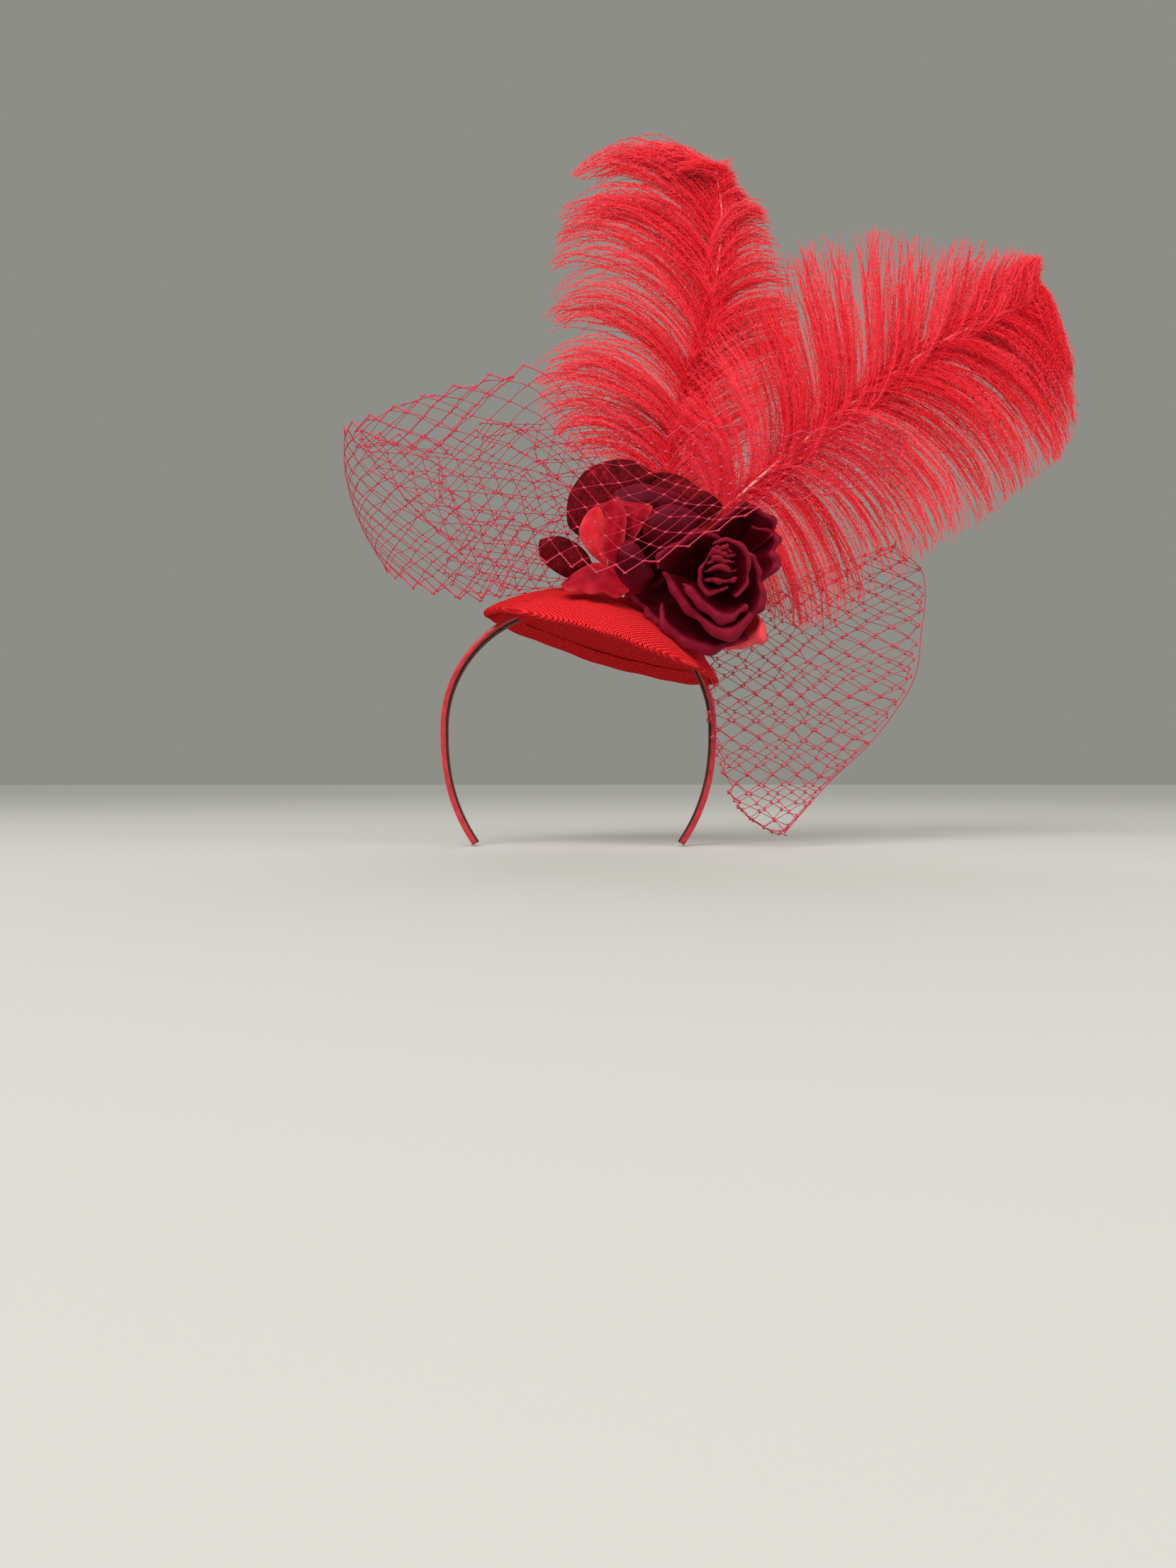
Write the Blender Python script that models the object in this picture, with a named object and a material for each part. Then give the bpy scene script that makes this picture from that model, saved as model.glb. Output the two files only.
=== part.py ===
"""Red fascinator headpiece: a satin headband under a tilted woven-straw saucer, which carries
two silk roses, velvet leaves, two ostrich plumes and a veil of diamond netting.

Metres, +Z up, +X to the wearer's left, -Y to the front. The origin is the middle of the band's
underside, where it rests on the crown of the head.
"""

import math

import bmesh
import bpy
import numpy as np
from mathutils import Vector

GAP = 0.0003

# Headband: the inner line is half an ellipse down to the widest level, then two legs drawn in.
BAND_HALF_WIDTH = 0.0736
BAND_RISE = 0.066
BAND_WIDEST_Z = -0.066
BAND_TIP_Z = -0.130
BAND_TIP_DRAWN_IN = 0.0175
BAND_LEG_POWER = 2.5
BAND_CROWN_FLAT = 0.006
BAND_WIDTH_CROWN = 0.012
BAND_WIDTH_TIP = 0.006
BAND_NOSE = 0.004
BAND_NOSE_STATIONS = (0.0008, 0.0016, 0.0024, BAND_NOSE)
LINING_THICK = 0.0010
CORE_THICK = 0.0017
SATIN_THICK = 0.0006
LEFT_FLEX_X = -0.056
RIGHT_FLEX_X = 0.0722
FLEX_GAP = 0.0006
CORE_EDGE = 0.0004
SATIN_EDGE = 0.0005

# Base: a cap of a sphere, tilted down to +X.
BASE_RADIUS = 0.0958
BASE_CENTRE = Vector((-0.0062, 0.0, -0.0837))
BASE_AXIS = Vector((0.287, 0.0, 0.958)).normalized()
BASE_HALF_ANGLE = math.radians(44.4)
STRAW_THICK = 0.0008
BASE_STEPS = 36
BINDING_THICK = 0.0006
BINDING_ANGLE = math.radians(4.2)
RIM_WIRE_RADIUS = 0.0006
KEEPER_LENGTH = 0.007
KEEPER_THICK = 0.0008
KEEPER_X = (-0.030, 0.012)

# Trims sewn to one buckram pad on the base.
PAD_AXIS = Vector((0.53, -0.09, 0.84)).normalized()
PAD_HALF_ANGLE = math.radians(13)
PAD_THICK = 0.0016
STEM_RADIUS = 0.0011
PETAL_THICK = 0.0008
LEAF_THICK = 0.0009
NET_THICK = 0.0012
LEAF_WIRE_RADIUS = 0.0005
PLUME_HALF_THICK = 0.007
PLUME_EDGE_HALF_THICK = 0.0012
QUILL_GAP = 0.0024
QUILL_ROOT_RADIUS = 0.0015
QUILL_TIP_RADIUS = 0.0004

FRONT_ROSE_HUB = Vector((0.072, -0.041, 0.0115))
FRONT_ROSE_AXIS = Vector((0.14, -0.98, -0.06)).normalized()
FRONT_ROSE_RADII = (0.013, 0.020, 0.029, 0.0355)
FRONT_ROSE_DEPTHS = (0.019, 0.017, 0.013, 0.004)
BACK_ROSE_HUB = Vector((0.027, -0.013, 0.037))
BACK_ROSE_AXIS = Vector((-0.2, -0.85, 0.49)).normalized()
BACK_ROSE_RADII = (0.013, 0.021, 0.029, 0.035)
BACK_ROSE_DEPTHS = (0.019, 0.017, 0.012, 0.004)
WHORL_STEP = 0.0022
WHORL_HOLE = 0.003
WHORL_PETALS = 5
WHORL_TURN = 0.55
WHORL_LOBE = 0.13
WHORL_CURL = 1.6
BUD_PROFILE = (
    (0.0, 0.0025), (0.0030, 0.0032), (0.0052, 0.0075), (0.0056, 0.0125), (0.0044, 0.0180),
    (0.0020, 0.0205), (0.0, 0.0212),
)

LEFT_QUILL = (
    (0.044, 0.009, 0.003), (0.053, 0.023, 0.055), (0.0585, 0.0270, 0.082), (0.0725, 0.028, 0.149),
    (0.0785, 0.028, 0.183), (0.0835, 0.024, 0.230), (0.0795, 0.018, 0.259),
)
LEFT_PLUME_OUTER = (
    (0.030, 0.082), (-0.010, 0.102), (-0.022, 0.128), (-0.019, 0.160), (-0.012, 0.196),
    (-0.006, 0.236), (0.004, 0.268), (0.034, 0.281), (0.066, 0.276),
)
LEFT_PLUME_INNER = (
    (0.074, 0.068), (0.098, 0.104), (0.120, 0.142), (0.125, 0.170), (0.121, 0.196),
    (0.113, 0.222), (0.104, 0.238), (0.094, 0.250), (0.086, 0.262),
)
RIGHT_QUILL = (
    (0.049, -0.001, 0.006), (0.0675, -0.004, 0.042), (0.095, -0.005, 0.068), (0.130, -0.005, 0.0975),
    (0.169, -0.005, 0.127), (0.206, -0.006, 0.151), (0.240, -0.008, 0.166), (0.253, -0.009, 0.173),
)
RIGHT_PLUME_UPPER = (
    (0.060, 0.078), (0.056, 0.118), (0.074, 0.158), (0.104, 0.175), (0.124, 0.206),
    (0.160, 0.215), (0.205, 0.210), (0.236, 0.203), (0.256, 0.196),
)
RIGHT_PLUME_LOWER = (
    (0.094, 0.036), (0.103, 0.004), (0.126, -0.008), (0.155, 0.004), (0.194, 0.028),
    (0.222, 0.041), (0.250, 0.069), (0.270, 0.098), (0.275, 0.140),
)

# Netting: pairs of points on the upper and the lower edge, in order along the strip.
LEFT_NET = (
    ((0.022, 0.038, 0.090), (-0.002, 0.036, 0.042)),
    ((-0.030, 0.044, 0.118), (-0.026, 0.044, 0.024)),
    ((-0.082, 0.042, 0.112), (-0.062, 0.040, 0.012)),
    ((-0.122, 0.016, 0.106), (-0.098, 0.012, 0.020)),
    ((-0.128, -0.020, 0.098), (-0.104, -0.022, 0.018)),
    ((-0.104, -0.046, 0.098), (-0.082, -0.044, 0.004)),
    ((-0.058, -0.056, 0.110), (-0.046, -0.052, 0.000)),
    ((-0.014, -0.056, 0.118), (-0.021, -0.054, 0.017)),
    ((0.036, -0.054, 0.088), (0.022, -0.062, 0.012)),
    ((0.070, -0.052, 0.091), (0.060, -0.060, 0.036)),
    ((0.108, -0.050, 0.086), (0.098, -0.048, 0.044)),
    ((0.150, -0.040, 0.094), (0.144, -0.034, 0.060)),
    ((0.180, -0.022, 0.096), (0.174, -0.018, 0.074)),
)
RIGHT_NET_FRONT = (
    (0.067, -0.028, -0.021), (0.0712, -0.035, -0.032), (0.071, -0.038, -0.046), (0.071, -0.038, -0.064),
    (0.075, -0.036, -0.079), (0.082, -0.032, -0.102), (0.092, -0.028, -0.115), (0.102, -0.024, -0.123),
)
RIGHT_NET_FOLD = (
    (0.182, 0.018, 0.040), (0.196, 0.016, 0.026), (0.197, 0.013, 0.008), (0.193, 0.008, -0.012),
    (0.187, 0.000, -0.040), (0.164, -0.008, -0.072), (0.138, -0.014, -0.096), (0.112, -0.020, -0.126),
)
RIGHT_NET_BACK = (
    (0.084, -0.010, -0.014), (0.081, -0.018, -0.042), (0.079, -0.020, -0.062), (0.090, -0.018, -0.078),
    (0.097, -0.016, -0.092), (0.104, -0.016, -0.106), (0.108, -0.017, -0.119),
)
# How far the drape bows back behind the right plume, and how far apart its layers stay near the fold.
NET_BEHIND_PLUME = 0.017
NET_FOLD_GAP = 0.004

LEAVES = (
    ("leaf_top", (0.030, 0.0125, 0.052), (0.020, 0.0135, 0.086), 0.027, (0.0, -1.0, 0.12)),
    ("leaf_right", (0.060, -0.0185, 0.056), (0.083, -0.022, 0.072), 0.009, (0.0, -1.0, 0.2)),
    ("leaf_left", (0.000, -0.024, 0.018), (-0.022, -0.030, 0.034), 0.010, (0.2, -0.9, 0.4)),
)


def clear_scene():
    for obj in list(bpy.data.objects):
        bpy.data.objects.remove(obj, do_unlink=True)


def material(name, color, roughness, metallic=0.0):
    made = bpy.data.materials.new(name)
    made.use_nodes = True
    shader = made.node_tree.nodes["Principled BSDF"]
    shader.inputs["Base Color"].default_value = (*color, 1.0)
    shader.inputs["Roughness"].default_value = roughness
    shader.inputs["Metallic"].default_value = metallic
    return made


def finish_bmesh(name, bm, mat):
    """Turns the faces outward and puts the mesh in the scene as a smooth object."""
    bmesh.ops.recalc_face_normals(bm, faces=bm.faces)
    mesh = bpy.data.meshes.new(name)
    bm.to_mesh(mesh)
    bm.free()
    mesh.shade_smooth()
    mesh.set_sharp_from_angle(angle=math.radians(40))
    mesh.materials.append(mat)
    obj = bpy.data.objects.new(name, mesh)
    bpy.context.scene.collection.objects.link(obj)
    return obj


def spline(points, count):
    """A Catmull-Rom curve through the points, read at evenly spaced parameters."""
    pts = np.array(points, float)
    pts = np.vstack([2 * pts[0] - pts[1], pts, 2 * pts[-1] - pts[-2]])
    read = np.linspace(0, len(pts) - 3, count)
    start = np.minimum(read.astype(int), len(pts) - 4)
    t = (read - start)[:, None]
    a, b, c, d = (pts[start + k] for k in range(4))
    return 0.5 * (2 * b + (c - a) * t + (2 * a - 5 * b + 4 * c - d) * t**2 + (3 * b - a - 3 * c + d) * t**3)


def loft(name, rings, mat):
    """A closed solid through rings of equal length, with a flat cap at each end."""
    bm = bmesh.new()
    loops = [[bm.verts.new(p) for p in ring] for ring in rings]
    for low, high in zip(loops, loops[1:]):
        for i in range(len(low)):
            j = (i + 1) % len(low)
            bm.faces.new((low[i], low[j], high[j], high[i]))
    bm.faces.new(loops[0])
    bm.faces.new(loops[-1])
    return finish_bmesh(name, bm, mat)


def turned(name, profile, steps, centre, axis, mat):
    """Spins a closed profile of (radius, height) about an axis through the centre."""
    turn = axis.to_track_quat("Z", "X").to_matrix().to_4x4()
    turn.translation = centre
    bm = bmesh.new()
    verts = [bm.verts.new((r, 0, z)) for r, z in profile]
    edges = [bm.edges.new((verts[i - 1], verts[i])) for i in range(len(verts))]
    edges = [e for e in edges if not all(v.co.x < 1e-9 for v in e.verts)]
    bmesh.ops.spin(bm, geom=verts + edges, axis=(0, 0, 1), angle=math.tau, steps=steps)
    bmesh.ops.remove_doubles(bm, verts=bm.verts, dist=1e-6)
    bmesh.ops.delete(bm, geom=[e for e in bm.edges if not e.link_faces], context="EDGES")
    bmesh.ops.transform(bm, matrix=turn, verts=bm.verts)
    return finish_bmesh(name, bm, mat)


def sheet(name, grid, thick, mat, offset=0.0, wraps=False):
    """A grid of points given a thickness by Solidify. With wraps, the last row joins the first."""
    rows, cols = grid.shape[:2]
    bm = bmesh.new()
    verts = [[bm.verts.new(p) for p in row] for row in grid]
    for i in range(rows if wraps else rows - 1):
        after = (i + 1) % rows
        for j in range(cols - 1):
            bm.faces.new((verts[i][j], verts[after][j], verts[after][j + 1], verts[i][j + 1]))
    mesh = bpy.data.meshes.new(name)
    bm.to_mesh(mesh)
    bm.free()
    mesh.shade_smooth()
    mesh.materials.append(mat)
    obj = bpy.data.objects.new(name, mesh)
    bpy.context.scene.collection.objects.link(obj)
    solid = obj.modifiers.new("thickness", "SOLIDIFY")
    solid.thickness = thick
    solid.offset = offset
    solid.use_quality_normals = True
    return obj


def rod(name, points, radii, mat, resolution=2):
    """A round rod along a smooth route, with filled ends."""
    curve = bpy.data.curves.new(name, "CURVE")
    curve.dimensions = "3D"
    curve.bevel_depth = 1.0
    curve.bevel_resolution = resolution
    curve.use_fill_caps = True
    line = curve.splines.new("POLY")
    line.points.add(len(points) - 1)
    for point, place, radius in zip(line.points, points, radii):
        point.co = (*place, 1.0)
        point.radius = radius
    curve.materials.append(mat)
    obj = bpy.data.objects.new(name, curve)
    bpy.context.scene.collection.objects.link(obj)
    return obj


# ---------------------------------------------------------------- headband


def band_inner(x=None, z=None, side=1):
    """A point of the inner line, from x above the widest level or from z below it."""
    if z is None:
        flat = max(abs(x) - BAND_CROWN_FLAT, 0.0) / (BAND_HALF_WIDTH - BAND_CROWN_FLAT)
        return np.array((x, BAND_WIDEST_Z + BAND_RISE * math.sqrt(1 - flat**2)))
    share = (BAND_WIDEST_Z - z) / (BAND_WIDEST_Z - BAND_TIP_Z)
    return np.array((side * (BAND_HALF_WIDTH - BAND_TIP_DRAWN_IN * share**BAND_LEG_POWER), z))


def band_line():
    """Stations along the inner line from the left tip over the crown to the right tip."""
    legs = np.linspace(BAND_TIP_Z, BAND_WIDEST_Z, 10)[:-1]
    turns = np.radians(np.linspace(-90, 90, 33))
    top = []
    for turn in turns:
        x = math.sin(turn) * (BAND_HALF_WIDTH - BAND_CROWN_FLAT) + math.copysign(BAND_CROWN_FLAT, turn)
        if abs(turn) > 1e-6:
            top.append(band_inner(x=x))
    left = [band_inner(z=z, side=-1) for z in legs]
    right = [band_inner(z=z) for z in legs[::-1]]
    flat = [np.array((-BAND_CROWN_FLAT, 0.0)), np.array((BAND_CROWN_FLAT, 0.0))]
    half = len(top) // 2
    return np.array(left + top[:half] + flat + top[half:] + right)


def along(line):
    return np.concatenate([[0], np.cumsum(np.linalg.norm(np.diff(line, axis=0), axis=1))])


def band_stretch(line, start, end):
    """The stations between two distances along the line, with the ends exactly there."""
    run = along(line)
    nose = np.array(BAND_NOSE_STATIONS)
    known = np.sort(np.concatenate([run[run > BAND_NOSE + 0.001], nose, run[-1] - nose]))
    inside = (known > start + 1e-5) & (known < end - 1e-5)
    places = np.concatenate([[start], known[inside], [end]])
    points = np.stack([np.interp(places, run, line[:, k]) for k in range(2)], axis=1)
    slope = np.gradient(line, run, axis=0)
    slope = np.stack([np.interp(places, run, slope[:, k]) for k in range(2)], axis=1)
    slope /= np.linalg.norm(slope, axis=1)[:, None]
    normal = np.stack([-slope[:, 1], slope[:, 0]], axis=1)
    return places, points, normal


def band_width(place, total):
    """The band's width front to back at a distance along it: full over the crown, rounded at the tips."""
    end = min(place, total - place)
    taper = min(end / (0.38 * total), 1.0)
    width = BAND_WIDTH_TIP + (BAND_WIDTH_CROWN - BAND_WIDTH_TIP) * taper
    nose = min(end / BAND_NOSE, 1.0)
    return width * (0.45 + 0.55 * math.sqrt(1 - (1 - nose) ** 2))


def band_layer(name, line, span, section, mat):
    """One layer of the band. section gives the ring of (across, out) points for a width."""
    total = along(line)[-1]
    rings = []
    for place, point, normal in zip(*band_stretch(line, *span)):
        ring = section(band_width(place, total))
        rings.append([(point[0] + h * normal[0], w, point[1] + h * normal[1]) for w, h in ring])
    return loft(name, rings, mat)


def lining_section(width):
    half = width / 2 - SATIN_THICK
    return [(-half, 0.0), (half, 0.0), (half, LINING_THICK), (-half, LINING_THICK)]


def core_section(width):
    half = width / 2 - SATIN_THICK - GAP
    low = LINING_THICK + GAP
    high = low + CORE_THICK
    edge = min(CORE_EDGE, half / 3)
    return [(-half, low + edge), (-half + edge, low), (half - edge, low), (half, low + edge),
            (half, high - edge), (half - edge, high), (-half + edge, high), (-half, high - edge)]


def satin_section(width):
    """A channel that wraps the core's outside and both its edges."""
    half = width / 2
    inner = half - SATIN_THICK
    low = LINING_THICK + GAP
    under = low + CORE_THICK + GAP
    high = under + SATIN_THICK
    turn = SATIN_EDGE
    return [(-half, low), (-inner, low), (-inner, under), (inner, under), (inner, low), (half, low),
            (half, high - turn), (half - turn, high), (-half + turn, high), (-half, high - turn)]


def band_place(line, x, half):
    """How far along the line it passes x, on the left or right half above the widest level."""
    run = along(line)
    upper = (line[:, 1] > BAND_WIDEST_Z) & (line[:, 0] * half > 0)
    order = np.argsort(line[upper, 0])
    return float(np.interp(x, line[upper, 0][order], run[upper][order]))


def build_headband(mats):
    line = band_line()
    total = along(line)[-1]
    left = band_place(line, LEFT_FLEX_X, -1)
    right = band_place(line, RIGHT_FLEX_X, 1)
    spans = {
        "left_arm": (0.0, left - FLEX_GAP),
        "crown": (left + FLEX_GAP, right - FLEX_GAP),
        "right_arm": (right + FLEX_GAP, total),
    }
    layers = (
        ("band_core", core_section, "core", BAND_NOSE_STATIONS[1]),
        ("band_satin", satin_section, "satin", 0.0),
        ("band_lining", lining_section, "lining", BAND_NOSE_STATIONS[2]),
    )
    pivots = {}
    for part, place in (("left_arm", left), ("right_arm", right)):
        _, points, normals = band_stretch(line, place, place + FLEX_GAP)
        x, z = points[0] + normals[0] * (LINING_THICK + GAP + CORE_THICK) / 2
        pivots[part] = empty(f"{part}_flex", (x, 0.0, z))
    for layer, section, slot, short in layers:
        for part, (start, end) in spans.items():
            start = start + short if part == "left_arm" else start
            end = end - short if part == "right_arm" else end
            piece = band_layer(f"{layer}_{part}", line, (start, end), section, mats[slot])
            if part in pivots:
                hang(piece, pivots[part])
    for number, x in enumerate(KEEPER_X, 1):
        build_keeper(f"band_keeper_{number}", line, x, mats["straw"])


def build_keeper(name, line, x, mat):
    """A sewn loop that holds the band up against the straw."""
    place = band_place(line, x, math.copysign(1, x))
    _, points, normals = band_stretch(line, place - KEEPER_LENGTH / 2, place + KEEPER_LENGTH / 2)
    points, normals = points[[0, -1]], normals[[0, -1]]
    middle = points.mean(axis=0)
    inner = straw_radii()[2] - 3 * GAP - KEEPER_THICK
    reach = inner - np.linalg.norm(middle - np.array((BASE_CENTRE.x, BASE_CENTRE.z)))
    half = BAND_WIDTH_CROWN / 2 + GAP
    corner = 0.001
    ring = [(-half, 0.0), (-half + corner, -GAP), (half - corner, -GAP), (half, 0.0),
            (half, reach - corner), (half - corner, reach), (-half + corner, reach), (-half, reach - corner)]
    grid = [[(p[0] + h * n[0], w, p[1] + h * n[1]) for p, n in zip(points, normals)] for w, h in ring]
    return sheet(name, np.array(grid), KEEPER_THICK, mat, offset=1.0, wraps=True)


def empty(name, place):
    made = bpy.data.objects.new(name, None)
    made.location = place
    bpy.context.scene.collection.objects.link(made)
    return made


def hang(piece, pivot):
    """Parents the piece to an empty on its joint's axis, leaving it where it is."""
    piece.parent = pivot
    piece.matrix_parent_inverse.identity()
    piece.matrix_parent_inverse.translation = -Vector(pivot.location)


# -------------------------------------------------------------------- base


def straw_radii():
    """The outer radius of the two straw layers, then the radius of the base's underside."""
    top = BASE_RADIUS - BINDING_THICK - GAP
    under = top - STRAW_THICK - GAP
    return top, under, under - STRAW_THICK


def cap_profile(radius, thick, half_angle, steps):
    """A closed profile of a shell on a sphere, from its axis to the rim and back underneath."""
    angles = np.linspace(0, half_angle, steps)
    outer = [(radius * math.sin(a), radius * math.cos(a)) for a in angles]
    low = radius - thick
    inner = [(low * math.sin(a), low * math.cos(a)) for a in angles[::-1]]
    return outer + inner


def binding_profile(outer, inner):
    """A channel round the rim: over the straw, round its edge and back underneath."""
    back = BASE_HALF_ANGLE - BINDING_ANGLE
    nose = BASE_HALF_ANGLE + 2.6 * RIM_WIRE_RADIUS / BASE_RADIUS
    far = nose + BINDING_THICK / BASE_RADIUS
    route = [(outer + BINDING_THICK, back), (outer + BINDING_THICK, nose), (outer, far), (inner, far),
             (inner - BINDING_THICK, nose), (inner - BINDING_THICK, back), (inner, back),
             (inner, nose - 0.002), (inner + 0.0003, nose), (outer - 0.0003, nose), (outer, nose - 0.002),
             (outer, back)]
    return [(r * math.sin(a), r * math.cos(a)) for r, a in route]


def build_base(mats):
    top, under, low = straw_radii()
    for name, radius in (("base_top_layer", top), ("base_under_layer", under)):
        profile = cap_profile(radius, STRAW_THICK, BASE_HALF_ANGLE, 7)
        turned(name, profile, BASE_STEPS, BASE_CENTRE, BASE_AXIS, mats["straw"])
    middle = (top + low) / 2
    angle = BASE_HALF_ANGLE + (RIM_WIRE_RADIUS + GAP) / BASE_RADIUS
    across, height = middle * math.sin(angle), middle * math.cos(angle)
    turns = np.linspace(0, math.tau, 6)[:-1]
    ring = [(across + RIM_WIRE_RADIUS * math.cos(t), height + RIM_WIRE_RADIUS * math.sin(t)) for t in turns]
    turned("rim_wire", ring, BASE_STEPS, BASE_CENTRE, BASE_AXIS, mats["wire"])
    profile = binding_profile(top + GAP, low - GAP)
    turned("rim_binding", profile, BASE_STEPS, BASE_CENTRE, BASE_AXIS, mats["straw"])
    pad_low = BASE_RADIUS + GAP
    profile = cap_profile(pad_low + PAD_THICK, PAD_THICK, PAD_HALF_ANGLE, 5)
    turned("trim_pad", profile, 24, BASE_CENTRE, PAD_AXIS, mats["pad"])


def pad_point(x, y, lift=0.0):
    """The point of the pad's upper face under (x, y), lifted off it."""
    radius = BASE_RADIUS + GAP + PAD_THICK + lift
    across = Vector((x, y)) - Vector((BASE_CENTRE.x, BASE_CENTRE.y))
    return Vector((x, y, BASE_CENTRE.z + math.sqrt(radius**2 - across.length_squared)))


# ------------------------------------------------------------------- roses


def whorl_grid(hub, axis, back, radius, depth, phase, rows=20, cols=5):
    """A cupped ring of joined petals. Its rim dips where two petals meet."""
    turn = axis.to_track_quat("Z", "X").to_matrix()
    grid = np.zeros((rows, cols, 3))
    for i in range(rows):
        angle = math.tau * i / rows
        lobe = 1 - WHORL_LOBE * (0.5 + 0.5 * math.cos(WHORL_PETALS * (angle + phase))) ** 2
        for j, s in enumerate(np.linspace(0, 1, cols)):
            reach = WHORL_HOLE + (radius * lobe - WHORL_HOLE) * s
            share = (reach - WHORL_HOLE) / (radius - WHORL_HOLE)
            place = Vector((reach * math.cos(angle), reach * math.sin(angle), back + depth * share**WHORL_CURL))
            grid[i, j] = hub + turn @ place
    return grid


def build_rose(name, hub, axis, radii, depths, foot, mats, slots):
    """A rolled bud, whorls of petals threaded on a wire stem, and the stem's foot on the pad."""
    turned(f"{name}_bud", BUD_PROFILE, 16, hub, axis, mats[slots[0]])
    for number, (radius, depth) in enumerate(zip(radii, depths), 1):
        grid = whorl_grid(hub, axis, -WHORL_STEP * (number - 1), radius, depth, WHORL_TURN * number)
        slot = slots[0] if number < len(radii) else slots[1]
        sheet(f"{name}_petals_{number}", grid, PETAL_THICK, mats[slot], wraps=True)
    route = spline([hub + axis * 0.0012, hub - axis * 0.010, foot + Vector((0, 0, 0.004)), foot], 9)
    rod(f"{name}_stem", route, [STEM_RADIUS] * len(route), mats["wire"], resolution=1)


def build_leaf(name, base, tip, half_width, facing, mats):
    """A velvet leaf on a wire that runs down behind it to the pad."""
    base, tip, facing = Vector(base), Vector(tip), Vector(facing).normalized()
    length = (tip - base).length
    axis = (tip - base).normalized()
    facing = (facing - axis * facing.dot(axis)).normalized()
    side = axis.cross(facing)
    grid = np.zeros((9, 7, 3))
    for i, s in enumerate(np.linspace(0.02, 0.98, 9)):
        width = half_width * math.sin(math.pi * s**0.85) ** 0.6
        for j, t in enumerate(np.linspace(-1, 1, 7)):
            crown = 0.10 * half_width * (1 - t * t) + 0.05 * length * math.sin(math.pi * s)
            grid[i, j] = base + axis * (s * length) + side * (t * width) + facing * crown
    sheet(name, grid, LEAF_THICK, mats["velvet"])
    behind = -facing * (LEAF_THICK / 2 + 2 * GAP + LEAF_WIRE_RADIUS)
    route = spline([base + axis * (s * length) + behind for s in (-0.15, 0.2, 0.6, 0.85)], 8)
    rod(f"{name}_wire", route, [LEAF_WIRE_RADIUS] * len(route), mats["wire"], resolution=1)


# ------------------------------------------------------------------ plumes


def vane_root(quill, rows):
    """Points of the quill from its second point on, evenly spaced in parameter."""
    steps = 8
    whole = spline(quill, steps * (len(quill) - 1) + 1)[steps:]
    reads = np.linspace(0, len(whole) - 1, rows)
    return np.stack([np.interp(reads, np.arange(len(whole)), whole[:, k]) for k in range(3)], axis=1)


def vane(name, quill, outline, mat, rows=15, cols=5):
    """One side of a plume: a lens between the quill and the vane's outline."""
    root = vane_root(quill, rows)
    edge = spline([(x, 0, z) for x, z in outline], rows)
    edge[:, 1] = root[:, 1]
    step = edge - root
    clear = step / np.linalg.norm(step, axis=1)[:, None] * QUILL_GAP
    bm = bmesh.new()
    layers = []
    for sign in (-1, 1):
        layer = []
        for i in range(rows):
            row = []
            for t in np.linspace(0, 1, cols):
                swell = math.sin(math.pi * (0.15 + 0.85 * t))
                half = PLUME_EDGE_HALF_THICK + (PLUME_HALF_THICK - PLUME_EDGE_HALF_THICK) * swell
                place = root[i] + step[i] * t + clear[i] * (1 - t)
                row.append(bm.verts.new(place + np.array((0, sign * half, 0))))
            layer.append(row)
        layers.append(layer)
        for i in range(rows - 1):
            for j in range(cols - 1):
                bm.faces.new((layer[i][j], layer[i + 1][j], layer[i + 1][j + 1], layer[i][j + 1]))
    front, back = layers
    rim = [(i, 0) for i in range(rows)] + [(rows - 1, j) for j in range(1, cols)]
    rim += [(i, cols - 1) for i in range(rows - 2, -1, -1)] + [(0, j) for j in range(cols - 2, 0, -1)]
    for (i, j), (k, m) in zip(rim, rim[1:] + rim[:1]):
        bm.faces.new((front[i][j], front[k][m], back[k][m], back[i][j]))
    return finish_bmesh(name, bm, mat)


def build_plume(name, quill, outlines, mats):
    pivot = empty(f"{name}_root", quill[0])
    route = spline(quill, 20)
    radii = np.linspace(QUILL_ROOT_RADIUS, QUILL_TIP_RADIUS, len(route))
    parts = [rod(f"{name}_quill", route, radii, mats["quill"])]
    for side, outline in outlines:
        parts.append(vane(f"{name}_{side}_vane", quill, outline, mats["feather"]))
    start = Vector(route[0])
    grow = (Vector(route[2]) - start).normalized()
    bore = QUILL_ROOT_RADIUS + GAP
    wrap = [(bore, 0.001), (0.0026, 0.001), (0.0028, 0.005), (0.0025, 0.0095), (bore, 0.0095)]
    parts.append(turned(f"{name}_binding", wrap, 14, start, grow, mats["thread"]))
    for part in parts:
        hang(part, pivot)


# -------------------------------------------------------------------- veil


def build_left_net(mats):
    upper = spline([pair[0] for pair in LEFT_NET], 37)
    lower = spline([pair[1] for pair in LEFT_NET], 37)
    share = np.linspace(0, 1, 6)[None, :, None]
    grid = upper[:, None] * (1 - share) + lower[:, None] * share
    sheet("veil_left_net", grid, NET_THICK, mats["net"])


def build_right_net(mats):
    """The folded drape: front layer to the fold and back layer from it, closed between them."""
    rows, cols = 11, 8
    front, fold, back = (spline(edge, rows) for edge in (RIGHT_NET_FRONT, RIGHT_NET_FOLD, RIGHT_NET_BACK))
    fall = np.linspace(1, 0, rows)[:, None] ** 2
    layers = []
    for share in np.linspace(0, 1, cols):
        belly = math.sin(math.pi * share) ** 0.7 * fall * np.array((0, NET_BEHIND_PLUME, 0))
        layers.append(front * (1 - share) + fold * share + belly)
    for share in np.linspace(0, 1, cols)[1:]:
        belly = math.sin(math.pi * share) ** 0.7 * (fall * NET_BEHIND_PLUME + NET_FOLD_GAP)
        layers.append(fold * (1 - share) + back * share + belly * np.array((0, 1, 0)))
    loft("veil_right_net", np.array(layers).transpose(1, 0, 2), mats["net"])


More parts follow.
